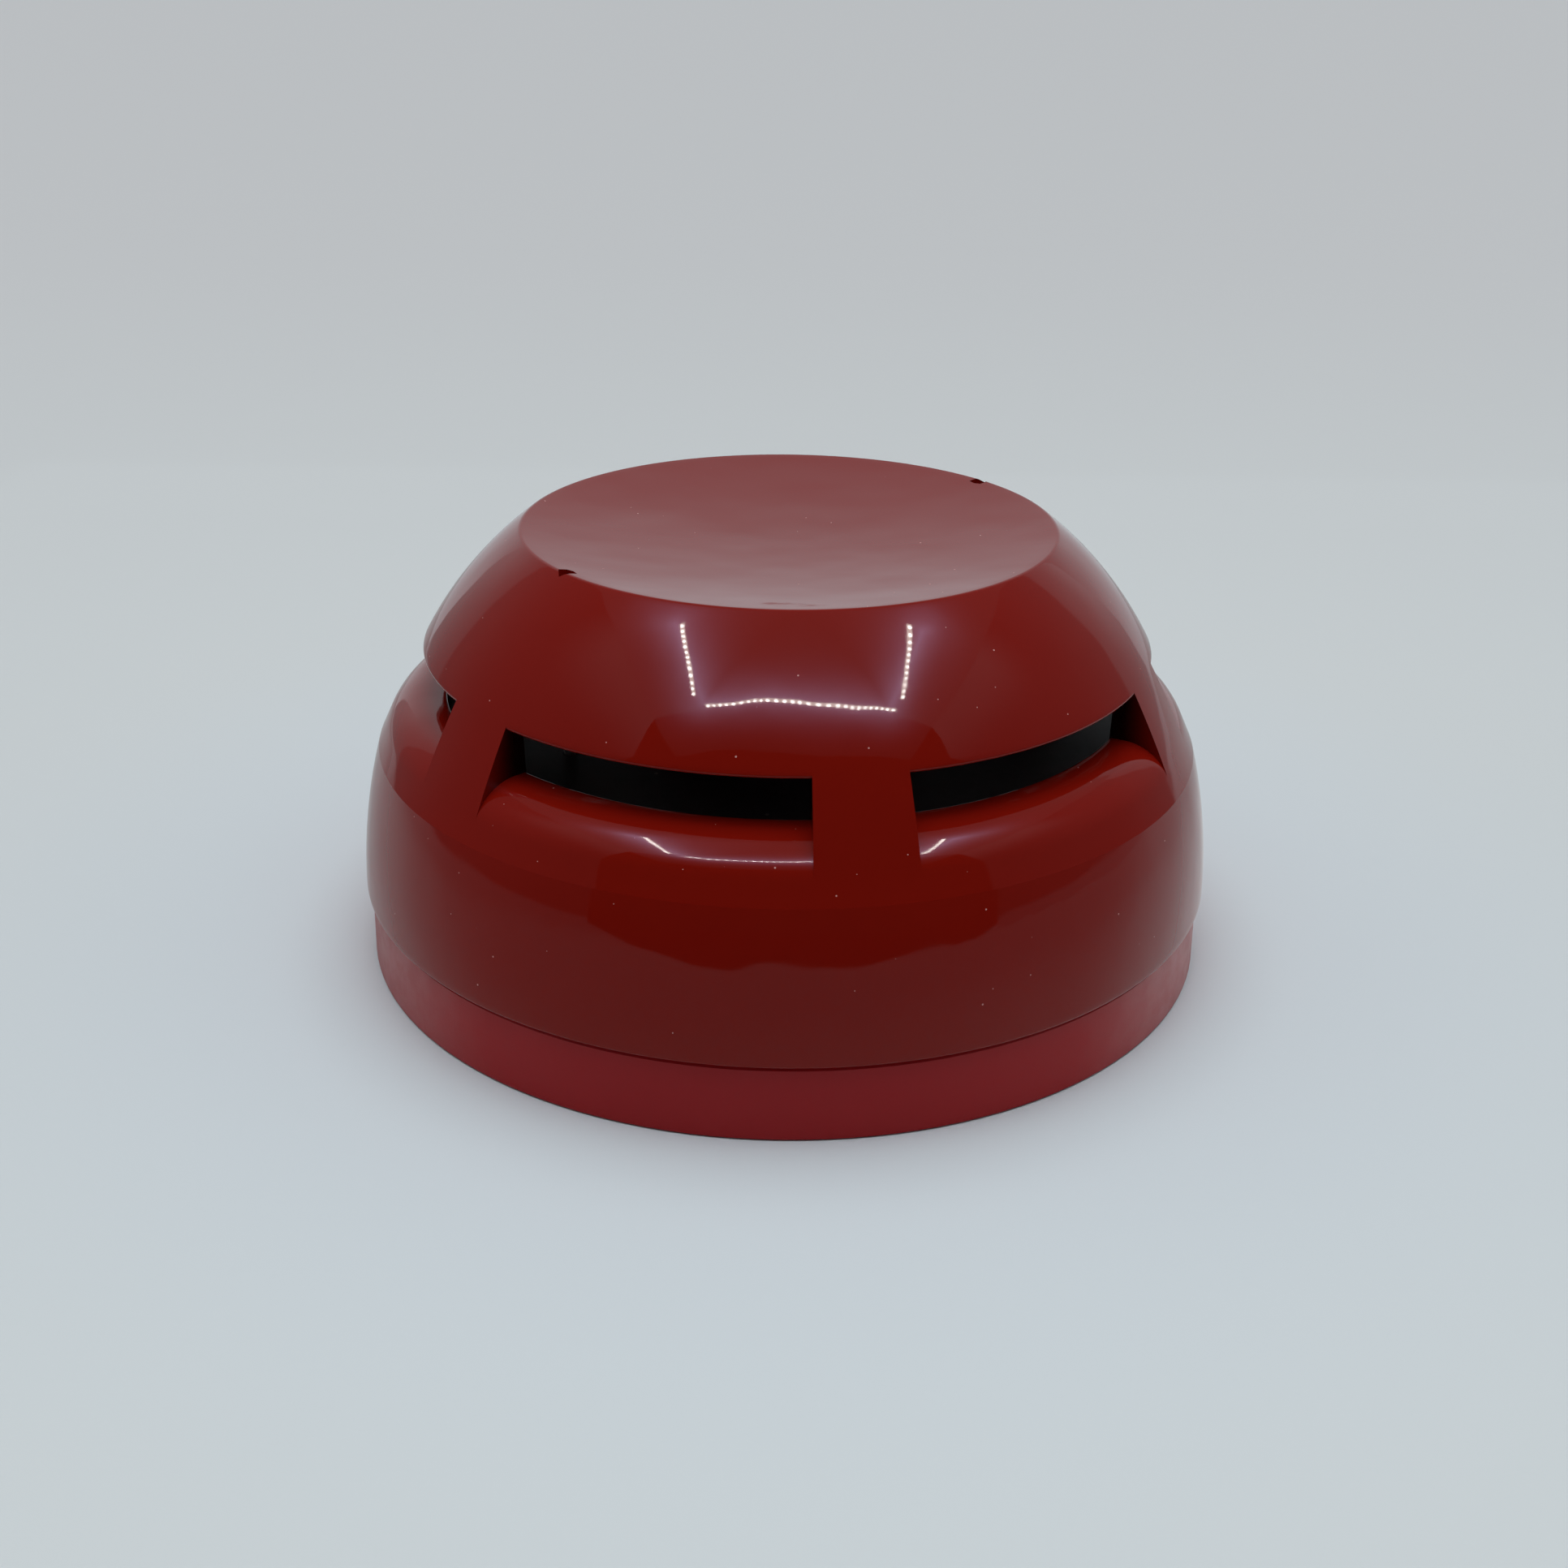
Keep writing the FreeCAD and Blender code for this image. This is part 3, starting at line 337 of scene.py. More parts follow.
def cover_piece(material):
    """The glossy cover, swept from its outlines with rounded lips and dense, even quads."""
    outline = CoverOutline()
    mesh = bmesh.new()
    for index in range(SLOT_COUNT):
        post_start = POST_AZIMUTH - POST_ANGLE / 2 + 360 / SLOT_COUNT * index
        post_end = post_start + POST_ANGLE
        posts = divided(post_start, POST_ANGLE, POST_STEPS)
        slots = divided(post_end, SLOT_ANGLE, SLOT_STEPS)
        for run in (outline.skirt, outline.inside_skirt, outline.dome, outline.inside_dome):
            sweep(mesh, run, posts + slots[1:])
        for run in (outline.shoulder, outline.lip):
            sweep(mesh, run, slots)
        for run in (outline.post_face, outline.post_back):
            sweep(mesh, run, posts)
        for azimuth in (post_start, post_end):
            mesh.faces.new([mesh.verts.new(at(point, azimuth)) for point in outline.post_side])
    clean(mesh)
    shade(mesh)
    piece = mesh_object("cover_shell", mesh, [material])
    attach(piece, "head")
    cut_away(piece, [window_cutter(), pipe_bore_cutter()])
    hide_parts("outer_cover")


# ---------------------------------------------------------------- node graphs
MIX_FACTOR, MIX_FIRST, MIX_SECOND, MIX_RESULT = 0, 6, 7, 2


def rgba(colour, scale=1.0, lift=0.0):
    """A colour with its channels scaled, lifted and kept at 1 or less, and full alpha."""
    return tuple(min(1.0, channel * scale + lift) for channel in colour) + (1,)


class Graph:
    """A node tree, with short calls that add a node, wire it and give back its result."""

    def __init__(self, owner):
        owner.use_nodes = True
        self.nodes, self.links = owner.node_tree.nodes, owner.node_tree.links

    def feed(self, node, inputs):
        """Wire results into a node's inputs, or set them to plain values."""
        for key, value in inputs.items():
            if isinstance(value, bpy.types.NodeSocket):
                self.links.new(value, node.inputs[key])
            else:
                node.inputs[key].default_value = value

    def add(self, kind, inputs=None, **settings):
        node = self.nodes.new("ShaderNode" + kind)
        for key, value in settings.items():
            setattr(node, key, value)
        self.feed(node, inputs or {})
        return node

    def set_shader(self, inputs):
        self.feed(self.nodes["Principled BSDF"], inputs)

    def show(self, shader):
        """Make a shader the surface of the material."""
        self.feed(self.nodes["Material Output"], {"Surface": shader})

    # Sources, in metres where they are places.
    def object_place(self):
        return self.add("TexCoord").outputs["Object"]

    def world_axes(self):
        return self.axes(self.add("NewGeometry").outputs["Position"])

    def axes(self, vector):
        return self.add("SeparateXYZ", {"Vector": vector}).outputs

    def facing(self):
        """0 where the surface faces the eye, 1 at its silhouette."""
        return self.add("LayerWeight", {"Blend": 0.5}).outputs["Facing"]

    def noise(self, vector, scale, detail, roughness):
        inputs = {"Vector": vector, "Scale": scale, "Detail": detail, "Roughness": roughness}
        return self.add("TexNoise", inputs).outputs["Fac"]

    # Arithmetic.
    def maths(self, operation, first, second=0.0):
        return self.add("Math", {0: first, 1: second}, operation=operation).outputs["Value"]

    def product(self, first, second):
        return self.maths("MULTIPLY", first, second)

    def total(self, first, second):
        return self.maths("ADD", first, second)

    def beyond(self, value, limit):
        """How far a value lies past a limit, or 0."""
        return self.maths("MAXIMUM", self.maths("SUBTRACT", value, limit))

    def decay(self, distance, reach):
        """Exponential fall from 1, to 1/e at the reach in millimetres."""
        return self.maths("POWER", math.e, self.maths("DIVIDE", distance, -reach * MM))

    def length(self, vector):
        return self.add("VectorMath", {0: vector}, operation="LENGTH").outputs["Value"]

    def scaled(self, vector, factor):
        node = self.add("VectorMath", {0: vector, "Scale": factor}, operation="SCALE")
        return node.outputs["Vector"]

    def ramp(self, value, low, high, first=0.0, last=1.0):
        """Map a value smoothly: first up to low, last from high on."""
        inputs = {"Value": value, "From Min": low, "From Max": high,
                  "To Min": first, "To Max": last}
        return self.add("MapRange", inputs, interpolation_type="SMOOTHSTEP").outputs["Result"]

    def fade(self, distance, stretch, first=0.0, last=1.0):
        """A ramp over a stretch that is given as a pair in millimetres."""
        return self.ramp(distance, stretch[0] * MM, stretch[1] * MM, first, last)

    # Colour and relief.
    def mix(self, factor, first, second):
        inputs = {MIX_FACTOR: factor, MIX_FIRST: first, MIX_SECOND: second}
        return self.add("Mix", inputs, data_type="RGBA").outputs[MIX_RESULT]

    def bump(self, height, strength, distance, **under):
        inputs = {"Height": height, "Strength": strength, "Distance": distance * MM, **under}
        return self.add("Bump", inputs).outputs["Normal"]

    def dust(self, vector, scale, share, size):
        """Sparse specks: 1 inside a few random cells' centres, 0 elsewhere."""
        cells = self.add("TexVoronoi", {"Vector": vector, "Scale": scale}).outputs
        random = self.add("SeparateColor", {"Color": cells["Color"]}).outputs
        chosen = self.maths("LESS_THAN", random["Red"], share)
        radius = self.product(random["Green"], size)
        return self.product(chosen, self.maths("LESS_THAN", cells["Distance"], radius))


# ---------------------------------------------------------------- materials
# Radii and levels, in millimetres, between which the painted shade on a post's flank fades.
FLANK_RADII = (CREST_RADIUS + 1.0, LIP[0] + 4.0)
FLANK_LEVELS = (LIP[1], LIP[1] + 2.0)
BRUSH_SCALE = (1, 1, 14)
ACRYLIC_IOR = 1.49


def new_material(name):
    material = bpy.data.materials.new(name)
    return material, Graph(material)


def flank_shade(graph):
    """How deep a point lies on the flank of a post, where little light comes; 0 elsewhere."""
    texture = graph.add("TexCoord").outputs
    place, normal = graph.axes(texture["Object"]), graph.axes(texture["Normal"])
    plan = graph.add("CombineXYZ", {"X": place["X"], "Y": place["Y"]}).outputs["Vector"]
    radius = graph.length(plan)
    across = graph.maths("SUBTRACT", graph.product(normal["Y"], place["X"]),
                         graph.product(normal["X"], place["Y"]))
    turn = graph.maths("ABSOLUTE", graph.maths("DIVIDE", across, radius))
    flank = graph.ramp(turn, low=0.6, high=0.95)
    depth = graph.fade(radius, FLANK_RADII, first=1.0, last=0.2)
    below_lip = graph.fade(place["Z"], FLANK_LEVELS, first=1.0, last=0.0)
    return graph.product(graph.product(flank, depth), below_lip)


def gloss_red():
    """High-gloss red moulding: slow waves, faint orange peel, finger haze and dust."""
    material, graph = new_material("gloss_red_plastic")
    place = graph.object_place()
    cloud = graph.noise(place, scale=45, detail=4, roughness=0.6)
    specks = graph.dust(place, scale=1000, share=0.10, size=0.11)
    tint = graph.mix(cloud, rgba((0.256, 0.0072, 0.0026)), rgba((0.274, 0.0080, 0.0031)))
    # Painted shade: the flanks of the posts, where little light comes, darken towards near black.
    shaded = graph.mix(flank_shade(graph), tint, rgba((0.012, 0.002, 0.0015)))
    smear = graph.noise(place, scale=120, detail=5, roughness=0.65)
    haze = graph.ramp(smear, low=0.45, high=0.8, first=0.035, last=0.10)
    sink = graph.noise(place, scale=85, detail=1.5, roughness=0.4)
    wave = graph.bump(sink, strength=1.0, distance=0.22)
    peel = graph.noise(place, scale=420, detail=2, roughness=0.4)
    relief = graph.total(peel, graph.product(specks, 3.0))
    graph.set_shader({
        "Base Color": graph.mix(specks, shaded, rgba((0.75, 0.36, 0.33))),
        "Roughness": graph.total(haze, graph.product(specks, 0.5)),
        "Normal": graph.bump(relief, strength=0.05, distance=0.1, Normal=wave),
        "Specular IOR Level": graph.ramp(graph.facing(), low=0.35, high=0.85,
                                         first=0.20, last=0.62),
    })
    return material


def satin_red():
    """Fine-grained red moulding of the base, a little cooler than the cover."""
    material, graph = new_material("satin_red_plastic")
    place = graph.object_place()
    cloud = graph.noise(place, scale=60, detail=4, roughness=0.6)
    specks = graph.dust(place, scale=700, share=0.03, size=0.15)
    tint = graph.mix(cloud, rgba((0.395, 0.0120, 0.0155)), rgba((0.420, 0.0135, 0.0175)))
    smudge = graph.noise(place, scale=300, detail=4, roughness=0.6)
    grain = graph.noise(place, scale=3500, detail=2, roughness=0.5)
    graph.set_shader({
        "Base Color": graph.mix(specks, tint, rgba((0.5, 0.14, 0.14))),
        "Roughness": graph.ramp(smudge, low=0.3, high=0.7, first=0.30, last=0.42),
        "Normal": graph.bump(grain, strength=0.15, distance=0.04),
        "Specular IOR Level": graph.ramp(graph.facing(), low=0.4, high=0.9,
                                         first=0.20, last=1.6),
    })
    return material


def moulded(name, colour, roughness, grain_scale=2500, speck_share=0.04, specular=0.5,
            clearness=0.0):
    """Ordinary moulded or coated surface: colour drift, fine grain, smudges and dust."""
    material, graph = new_material(name)
    place = graph.object_place()
    drift = graph.noise(place, scale=90, detail=4, roughness=0.6)
    specks = graph.dust(place, scale=500, share=speck_share, size=0.16)
    tint = graph.mix(drift, rgba(colour, scale=0.85), rgba(colour, scale=1.12))
    smudge = graph.noise(place, scale=160, detail=5, roughness=0.7)
    grain = graph.noise(place, scale=grain_scale, detail=2, roughness=0.5)
    graph.set_shader({
        "Base Color": graph.mix(specks, tint, rgba(colour, scale=0.5, lift=0.12)),
        "Roughness": graph.ramp(smudge, low=0.35, high=0.7,
                                first=roughness * 0.8, last=min(1.0, roughness * 1.25)),
        "Normal": graph.bump(grain, strength=0.12, distance=0.05),
        "Specular IOR Level": specular,
    })
    if clearness:
        graph.set_shader({"Transmission Weight": clearness, "IOR": ACRYLIC_IOR})
    return material


def metal(name, colour, roughness):
    """Plated or drawn metal: fine brush marks across Z and a slight tarnish."""
    material, graph = new_material(name)
    place = graph.object_place()
    mapping = graph.add("Mapping", {"Vector": place, "Scale": BRUSH_SCALE})
    brush = graph.noise(mapping.outputs["Vector"], scale=900, detail=3, roughness=0.6)
    tarnish = graph.noise(place, scale=220, detail=4, roughness=0.6)
    dullness = graph.ramp(tarnish, low=0.4, high=0.75)
    graph.set_shader({
        "Base Color": graph.mix(dullness, rgba(colour), rgba(colour, scale=0.72)),
        "Roughness": graph.ramp(brush, low=0.3, high=0.7,
                                first=roughness * 0.7, last=roughness * 1.4),
        "Normal": graph.bump(brush, strength=0.2, distance=0.03),
        "Metallic": 1.0,
    })
    return material


def circuit_green():
    """Solder mask over copper tracks."""
    material, graph = new_material("solder_mask")
    place = graph.object_place()
    tracks = graph.add("TexBrick", {
        "Vector": place, "Scale": 120.0, "Mortar Size": 0.09, "Mortar": rgba((0.03, 0.24, 0.1)),
        "Color1": rgba((0.012, 0.12, 0.05)), "Color2": rgba((0.014, 0.14, 0.06)),
    }).outputs
    mottling = graph.noise(place, scale=400, detail=4, roughness=0.6)
    graph.set_shader({
        "Base Color": tracks["Color"],
        "Roughness": graph.ramp(mottling, low=0.3, high=0.7, first=0.22, last=0.38),
        "Normal": graph.bump(tracks["Fac"], strength=0.4, distance=0.04),
    })
    return material


def dress_frame():
    """Give every CAD node that stays in view the material of its slot."""
    looks = {
        "base_plastic": satin_red(),
        "black_plastic": moulded("black_plastic", (0.045, 0.045, 0.046), 0.38,
                                 grain_scale=1800, speck_share=0.06, specular=0.08),
        "white_plastic": moulded("white_nylon", (0.72, 0.72, 0.68), 0.45),
        "circuit_board": circuit_green(),
        "zinc_steel": metal("zinc_plate", (0.62, 0.62, 0.6), 0.28),
        "contact_brass": metal("contact_brass", (0.78, 0.58, 0.28), 0.25),
        "tinned_wire": metal("tinned_wire", (0.7, 0.7, 0.68), 0.3),
        "bead_glass": moulded("bead_epoxy", (0.03, 0.018, 0.012), 0.18),
        "led_lens": moulded("led_lens", (0.5, 0.02, 0.015), 0.15, clearness=0.4),
        "clear_acrylic": moulded("clear_acrylic", (0.85, 0.8, 0.78), 0.12, clearness=0.7),
        "chip_epoxy": moulded("chip_epoxy", (0.014, 0.014, 0.015), 0.55),
        "can_aluminium": metal("can_aluminium", (0.75, 0.76, 0.78), 0.3),
        "resistor_ceramic": moulded("resistor_ceramic", (0.02, 0.02, 0.025), 0.3),
        "capacitor_ceramic": moulded("capacitor_ceramic", (0.35, 0.24, 0.14), 0.4),
        "label_paper": moulded("label_film", (0.74, 0.74, 0.72), 0.5),
    }
    slots = {entry["node"]: entry["material_slot"] for entry in frame["record"]["subparts"]}
    for node, piece in frame["nodes"].items():
        if slots[node] in looks:
            piece.data.materials.clear()
            piece.data.materials.append(looks[slots[node]])


# ---------------------------------------------------------------- light tent, millimetres
TENT_TOP = 235.0
TENT_LEFT = -170.0
TENT_RIGHT = 205.0
TENT_FRONT = -170.0
TENT_BACK = 210.0
TENT_WHITE = rgba((0.86, 0.95, 1.0))

STRIP_FRONT = -160.0
STRIP_BACK = -38.0
STRIP_LEFT = -98.0
STRIP_RIGHT = 122.0
STRIP_RUNS = (
    ((STRIP_LEFT + 8, STRIP_BACK), (STRIP_LEFT - 8, STRIP_FRONT + 14)),
    ((STRIP_LEFT + 2, STRIP_FRONT - 4), (STRIP_RIGHT + 8, STRIP_FRONT + 2)),
    ((STRIP_RIGHT + 10, STRIP_FRONT + 22), (STRIP_RIGHT - 16, STRIP_BACK + 4)),
)
TAPE_HALF_WIDTH = 2.6
TAPE_DROP = 1.0
LED_PITCH = 8.3
LED_RADIUS = 2.2
LED_SEGMENTS = 10
LED_DROP = 2.0

# The roof reaches out past the walls. Pairs are the start and the end of a change along Y.
ROOF_OVERHANG = 90.0
ROOF_EDGE = (TENT_FRONT - 3.0, TENT_FRONT + 3.0)
ROOF_DIMMING = (-40.0, 30.0)
GLOW_REACH = 17.5
HAZE_REACH = 60.0

# The walls change along Y, across a bend that leans back with its height squared, and upwards.
WALL_BRIGHTENING = (-160.0, -40.0)
BEND_START = 92.0
BEND_LEAN_PER_METRE = 1.45
BEND_EDGE = (-4.0, 4.0)
PAST_BEND = (0.0, 100.0)
WALL_RISE = (0.0, 140.0)
FOOT_EDGE = (6.0, 10.0)
LAMPLIT_HEIGHT = (120.0, TENT_TOP)
LAMPLIT_LENGTH = (STRIP_BACK - 10.0, STRIP_BACK + 60.0)
REAR_RISE = (30.0, 160.0)


def emitter(name, colour, strength):
    """A glowing material; its colour and strength are plain or functions of the graph."""
    material, graph = new_material(name)
    graph.nodes.remove(graph.nodes["Principled BSDF"])
    glow = graph.add("Emission")
    for key, value in (("Color", colour), ("Strength", strength)):
        graph.feed(glow, {key: value(graph) if callable(value) else value})
    graph.show(glow.outputs["Emission"])
    return material


def stage_object(name, mesh, material):
    item = mesh_object(name, mesh, [material])
    return item


def reflected_object(name, mesh, material):
    """A stage object that only mirror-like reflections see."""
    item = stage_object(name, mesh, material)
    item.visible_camera = False
    item.visible_diffuse = False
    item.visible_transmission = False
    item.visible_shadow = False
    item.visible_volume_scatter = False


def panel(name, corners, material):
    mesh = bmesh.new()
    mesh.faces.new([mesh.verts.new(Vector(corner) * MM) for corner in corners])
    reflected_object(name, mesh, material)


def strip_distance(graph, across, past):
    """Distance to a straight strip from the offset across it and the overshoot past its end."""
    squares = graph.total(graph.maths("POWER", across, 2.0), graph.maths("POWER", past, 2.0))
    return graph.maths("SQRT", squares)


def roof_colour(graph):
    """White roof inside the tent, with a bluish glow that fades away from the lamp strips."""
    place = graph.world_axes()
    middle = (STRIP_LEFT + STRIP_RIGHT) / 2 * MM
    half = (STRIP_RIGHT - STRIP_LEFT) / 2 * MM
    aside = graph.maths("ABSOLUTE", graph.maths("SUBTRACT", place["X"], middle))
    ahead = graph.maths("SUBTRACT", STRIP_FRONT * MM, place["Y"])
    behind = graph.beyond(place["Y"], STRIP_BACK * MM)
    to_side = strip_distance(graph, graph.maths("SUBTRACT", aside, half),
                             graph.total(graph.maths("MAXIMUM", ahead), behind))
    to_front = strip_distance(graph, ahead, graph.beyond(aside, half))
    near = graph.maths("MINIMUM", to_side, to_front)
    inside = graph.fade(place["Y"], ROOF_EDGE, first=0.2, last=1.0)
    rearwards = graph.fade(place["Y"], ROOF_DIMMING, first=0.43, last=0.31)
    haze = graph.product(graph.decay(near, HAZE_REACH), 0.35)
    lit = graph.total(graph.product(inside, rearwards), haze)
    sheet = graph.scaled((0.98, 1.0, 1.02), lit)
    glow = graph.scaled((5.1, 4.7, 7.7), graph.decay(near, GLOW_REACH))
    return graph.add("VectorMath", {0: sheet, 1: glow}, operation="ADD").outputs["Vector"]


def wall_shade(front, middle, bend, rear):
    """Brightness of a side wall: dim at its open front, brighter past the bend at its back."""
    def strength(graph):
        place = graph.world_axes()
        along, upwards = place["Y"], place["Z"]
        ahead = graph.fade(along, WALL_BRIGHTENING, first=front, last=middle)
        lean = graph.product(graph.maths("POWER", upwards, 2.0), BEND_LEAN_PER_METRE)
        past = graph.maths("SUBTRACT", along, graph.total(lean, BEND_START * MM))
        step = graph.fade(past, BEND_EDGE, last=bend - middle)
        onwards = graph.fade(past, PAST_BEND, last=rear - bend)
        level = graph.total(ahead, graph.total(step, onwards))
        shaded = graph.product(level, graph.fade(upwards, WALL_RISE, first=0.55))
        foot = graph.fade(upwards, FOOT_EDGE, first=0.22, last=0.0)
        lamps = graph.product(graph.fade(upwards, LAMPLIT_HEIGHT, last=0.5),
                              graph.fade(along, LAMPLIT_LENGTH, first=1.0, last=0.0))
        return graph.total(shaded, graph.total(foot, lamps))
    return strength


def rear_shade(graph):
    """Brightness of the rear wall, which fades upwards."""
    return graph.fade(graph.world_axes()["Z"], REAR_RISE, first=0.64, last=0.48)


def lamp_strips():
    """The U of lamp strips under the roof: a row of small discs on a dimmer tape."""
    discs, tape = bmesh.new(), bmesh.new()
    for start, end in (map(Vector, run) for run in STRIP_RUNS):
        along = end - start
        across = Vector((-along.y, along.x)).normalized() * TAPE_HALF_WIDTH
        tape.faces.new([
            tape.verts.new(Vector((corner.x, corner.y, TENT_TOP - TAPE_DROP)) * MM)
            for corner in (start + across, end + across, end - across, start - across)])
        count = int(along.length / LED_PITCH)
        for index in range(count):
            centre = start + along * (index + 0.5) / count
            place = Matrix.Translation(Vector((centre.x, centre.y, TENT_TOP - LED_DROP)) * MM)
            bmesh.ops.create_circle(discs, cap_ends=True, segments=LED_SEGMENTS, matrix=place,
                                    radius=LED_RADIUS * MM)
    reflected_object("lamp_tape", tape, emitter("lamp_tape_glow", rgba((1.0, 0.93, 0.86)), 22.0))
    reflected_object("lamp_discs", discs, emitter("lamp_disc_glow", rgba((1.0, 0.96, 0.92)), 90.0))


def light_tent():
    """White tent, open at the front, that only the object's reflections see."""
    roof = emitter("tent_roof", roof_colour, 1.0)
    left_wall = emitter("tent_left_wall", TENT_WHITE, wall_shade(0.17, 0.23, 0.37, 0.50))
    right_wall = emitter("tent_right_wall", TENT_WHITE, wall_shade(0.18, 0.26, 0.47, 0.64))
    rear_wall = emitter("tent_back", TENT_WHITE, rear_shade)
    left, right, front, rear, top = TENT_LEFT, TENT_RIGHT, TENT_FRONT, TENT_BACK, TENT_TOP
    edge = front - ROOF_OVERHANG
    panel("tent_roof",
          [(left, edge, top), (right, edge, top), (right, rear, top), (left, rear, top)], roof)
    for name, x, material in (("tent_left", left, left_wall), ("tent_right", right, right_wall)):
        panel(name, [(x, front, 0), (x, rear, 0), (x, rear, top), (x, front, top)], material)
    panel("tent_rear",
          [(left, rear, 0), (right, rear, 0), (right, rear, top), (left, rear, top)], rear_wall)
    lamp_strips()


# ---------------------------------------------------------------- floor, millimetres
FLOOR_RADIUS = 6000.0
FLOOR_SEGMENTS = 96
FLOOR_LEVEL = -0.2
FLOOR_HOLE = 48.5
# Stretches and places, in millimetres, of the painted shade and painted light on the sheet.
FLOOR_FRONT = (-210.0, -180.0)
BESIDE_OBJECT = (55.0, 130.0)
FAR_BEHIND = (50.0, 550.0)
GLEAM_PLACE = (30.0, -5.0, 0.0)
GLEAM_FALL = (30.0, 105.0)
LEFT_DIMMING = (-170.0, -110.0)


def sheet_colour(graph, place):
    """Pale paper as the camera sees it, with painted shade: cooler by the object, greyer far
    behind it.
    """
    tone = graph.noise(place, scale=9, detail=3, roughness=0.5)
    close = graph.mix(tone, rgba((0.795, 0.828, 0.836)), rgba((0.81, 0.844, 0.852)))
    # Painted shadow: the paper turns cooler and bluer close around the object.
    beside = graph.fade(graph.length(place), BESIDE_OBJECT, first=1.0, last=0.0)
    cooler = graph.mix(beside, close, rgba((0.79, 0.846, 0.884)))
    # Painted shade: the paper turns greyer far behind the object.
    far = graph.fade(graph.axes(place)["Y"], FAR_BEHIND)
    paper = graph.mix(far, cooler, rgba((0.785, 0.80, 0.812)))
    specks = graph.dust(place, scale=28, share=0.05, size=0.018)
    return graph.mix(specks, paper, rgba((0.2, 0.17, 0.15)))


def mirrored_colour(graph, place, outside):
    """The sheet as reflections see it, in painted light and shade: a gleam by the object, dimmer
    far left, dark outside.
    """
    centre = tuple(part * MM for part in GLEAM_PLACE)
    offset = graph.add("VectorMath", {0: place, 1: centre}, operation="DISTANCE")
    # Painted light: in reflections the sheet is brighter by the object.
    gleam = graph.fade(offset.outputs["Value"], GLEAM_FALL, first=1.0, last=0.0)
    sheet = graph.mix(gleam, rgba((0.58, 0.60, 0.61)), rgba((0.86, 0.88, 0.89)))
    # Painted shade: in reflections the sheet dims towards the far left.
    leftwards = graph.fade(graph.axes(place)["X"], LEFT_DIMMING, first=1.0, last=0.0)
    dimmer = graph.mix(leftwards, sheet, rgba((0.44, 0.45, 0.46)))
    # Painted shade: in reflections the sheet in front of the tent is dark.
    return graph.mix(outside, dimmer, rgba((0.03, 0.028, 0.027)))


def clear_underneath(graph, place):
    """Let a camera below look through the sheet, which also stops short under the object."""
    covered = graph.maths("LESS_THAN", graph.length(place), FLOOR_HOLE * MM)
    backwards = graph.add("NewGeometry").outputs["Backfacing"]
    share = graph.maths("MAXIMUM", covered, backwards)
    sheet = graph.nodes["Principled BSDF"].outputs["BSDF"]
    clear = graph.add("BsdfTransparent").outputs["BSDF"]
    graph.show(graph.add("MixShader", {0: share, 1: sheet, 2: clear}).outputs["Shader"])


def floor():
    """Plain pale sheet with a barely visible paper tooth and a few specks, and painted shade and
    light in its colour.
    """
    material, graph = new_material("pale_sheet")
    place = graph.object_place()
    outside = graph.fade(graph.world_axes()["Y"], FLOOR_FRONT, first=1.0, last=0.0)
    path = graph.add("LightPath").outputs
    seen = graph.mix(path["Is Glossy Ray"], sheet_colour(graph, place),
                     mirrored_colour(graph, place, outside))
    # Painted shade: light bounced off the sheet in front of the tent is dark.
    scattered = graph.mix(outside, rgba((0.66, 0.67, 0.68)), rgba((0.05, 0.048, 0.046)))
    tooth = graph.noise(place, scale=1500, detail=3, roughness=0.6)
    graph.set_shader({
        "Base Color": graph.mix(path["Is Diffuse Ray"], seen, scattered),
        "Normal": graph.bump(tooth, strength=0.1, distance=0.1),
        "Roughness": 0.9,
        "Specular IOR Level": 0.1,
    })
    clear_underneath(graph, place)
    mesh = bmesh.new()
    bmesh.ops.create_circle(mesh, cap_ends=True, segments=FLOOR_SEGMENTS,
                            radius=FLOOR_RADIUS * MM)
    for face in mesh.faces:
        face.normal_update()
        if face.normal.z < 0:
            face.normal_flip()
    stage_object("pale_floor", mesh, material).location.z = FLOOR_LEVEL * MM


# ---------------------------------------------------------------- surround and lamps
SUN_STRENGTH = 1.21
SUN_COLOUR = (0.95, 0.97, 0.99)
SUN_TILT = math.radians(5)
SUN_SPREAD = math.radians(55)
ROOF_LIGHT_POWER = 0.06
ROOF_LIGHT_COLOUR = (0.72, 0.96, 1.0)
ROOF_LIGHT_PLACE = (10, -90, TENT_TOP)
ROOF_LIGHT_TARGET = (0, -60, 0)
ROOF_LIGHT_SIZE = (220, 160)


def world_light():
    """Pale surround for the camera, soft dome for diffuse light, dark room for reflections."""
    world = bpy.data.worlds.new("surround")
    bpy.context.scene.world = world
    graph = Graph(world)
    direction = graph.axes(graph.add("TexCoord").outputs["Generated"])
    sideways = graph.maths("ABSOLUTE", direction["X"])
    flanks = graph.ramp(sideways, low=0.5, high=0.95, first=1.0, last=1.9)
    openness = graph.ramp(direction["Y"], low=-0.75, high=-0.2, first=0.08, last=1.0)
    dome = graph.scaled((0.305, 0.314, 0.320), graph.product(flanks, openness))
    path = graph.add("LightPath").outputs
    unseen = graph.mix(path["Is Glossy Ray"], dome, rgba((0.035, 0.030, 0.028)))
    shown = graph.mix(path["Is Camera Ray"], unseen, rgba((0.50, 0.54, 0.57)))
    graph.feed(graph.nodes["Background"], {"Color": shown, "Strength": 1.0})


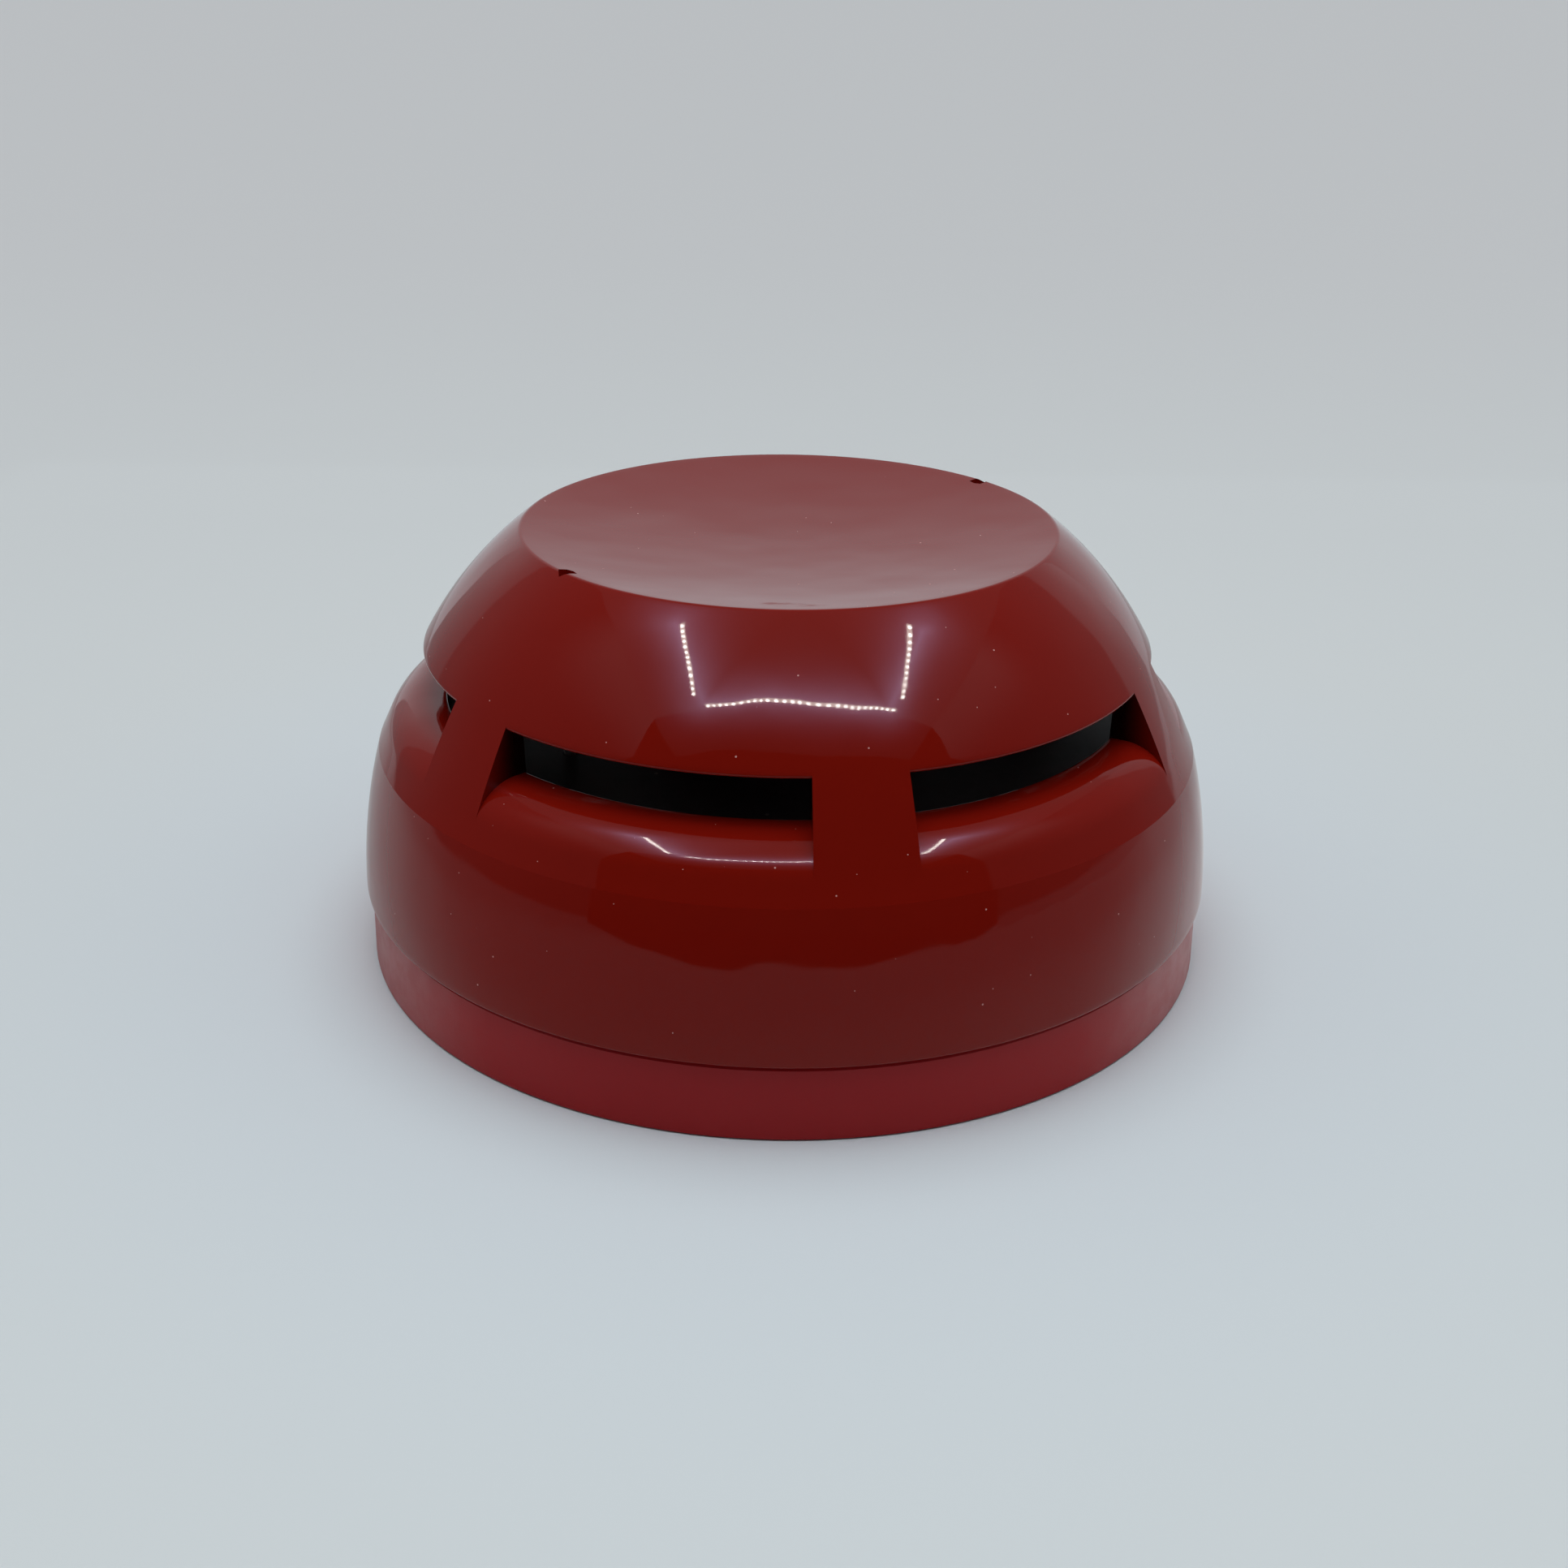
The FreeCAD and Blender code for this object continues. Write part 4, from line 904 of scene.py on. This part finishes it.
def lamp_object(name, kind, energy, colour):
    """A lamp that reflections don't see."""
    lamp = bpy.data.lights.new(name, kind)
    lamp.energy = energy
    lamp.color = colour
    item = bpy.data.objects.new(name, lamp)
    bpy.context.scene.collection.objects.link(item)
    item.visible_glossy = False
    return item


def soft_sun():
    """A very broad lamp overhead, tilted to shine from a little behind the object."""
    item = lamp_object("soft_sun", "SUN", SUN_STRENGTH, SUN_COLOUR)
    item.data.angle = SUN_SPREAD
    item.rotation_euler = (-SUN_TILT, 0, 0)


def roof_light():
    """A weak, cool panel under the roof, over the front of the object."""
    item = lamp_object("roof_light", "AREA", ROOF_LIGHT_POWER, ROOF_LIGHT_COLOUR)
    item.data.shape = "RECTANGLE"
    item.data.size, item.data.size_y = (side * MM for side in ROOF_LIGHT_SIZE)
    item.visible_camera = False
    item.location = Vector(ROOF_LIGHT_PLACE) * MM
    aim = Vector(ROOF_LIGHT_TARGET) * MM - item.location
    item.rotation_euler = aim.to_track_quat("-Z", "Y").to_euler()


# ---------------------------------------------------------------- camera
CAMERA_PLACE = (-0.2, -213.6, 113.3)
CAMERA_PITCH = math.radians(24.25)
CAMERA_ROLL = math.radians(-0.71)
CAMERA_LENS = 44.16
CAMERA_SENSOR = 36.0
CAMERA_CLIP = 10.0


def camera():
    data = bpy.data.cameras.new("camera")
    data.lens = CAMERA_LENS
    data.sensor_width = CAMERA_SENSOR
    data.clip_start = CAMERA_CLIP * MM
    item = bpy.data.objects.new("camera", data)
    bpy.context.scene.collection.objects.link(item)
    tilt = Matrix.Rotation(math.pi / 2 - CAMERA_PITCH, 4, "X")
    roll = Matrix.Rotation(-CAMERA_ROLL, 4, "Z")
    item.matrix_world = Matrix.Translation(Vector(CAMERA_PLACE) * MM) @ tilt @ roll
    bpy.context.scene.camera = item


def colour_management():
    settings = bpy.context.scene.view_settings
    settings.view_transform = "Standard"
    settings.look = "None"
    settings.exposure = 0.0
    settings.gamma = 1.0


dress_frame()
cover_piece(gloss_red())
floor()
light_tent()
world_light()
soft_sun()
roof_light()
camera()
colour_management()
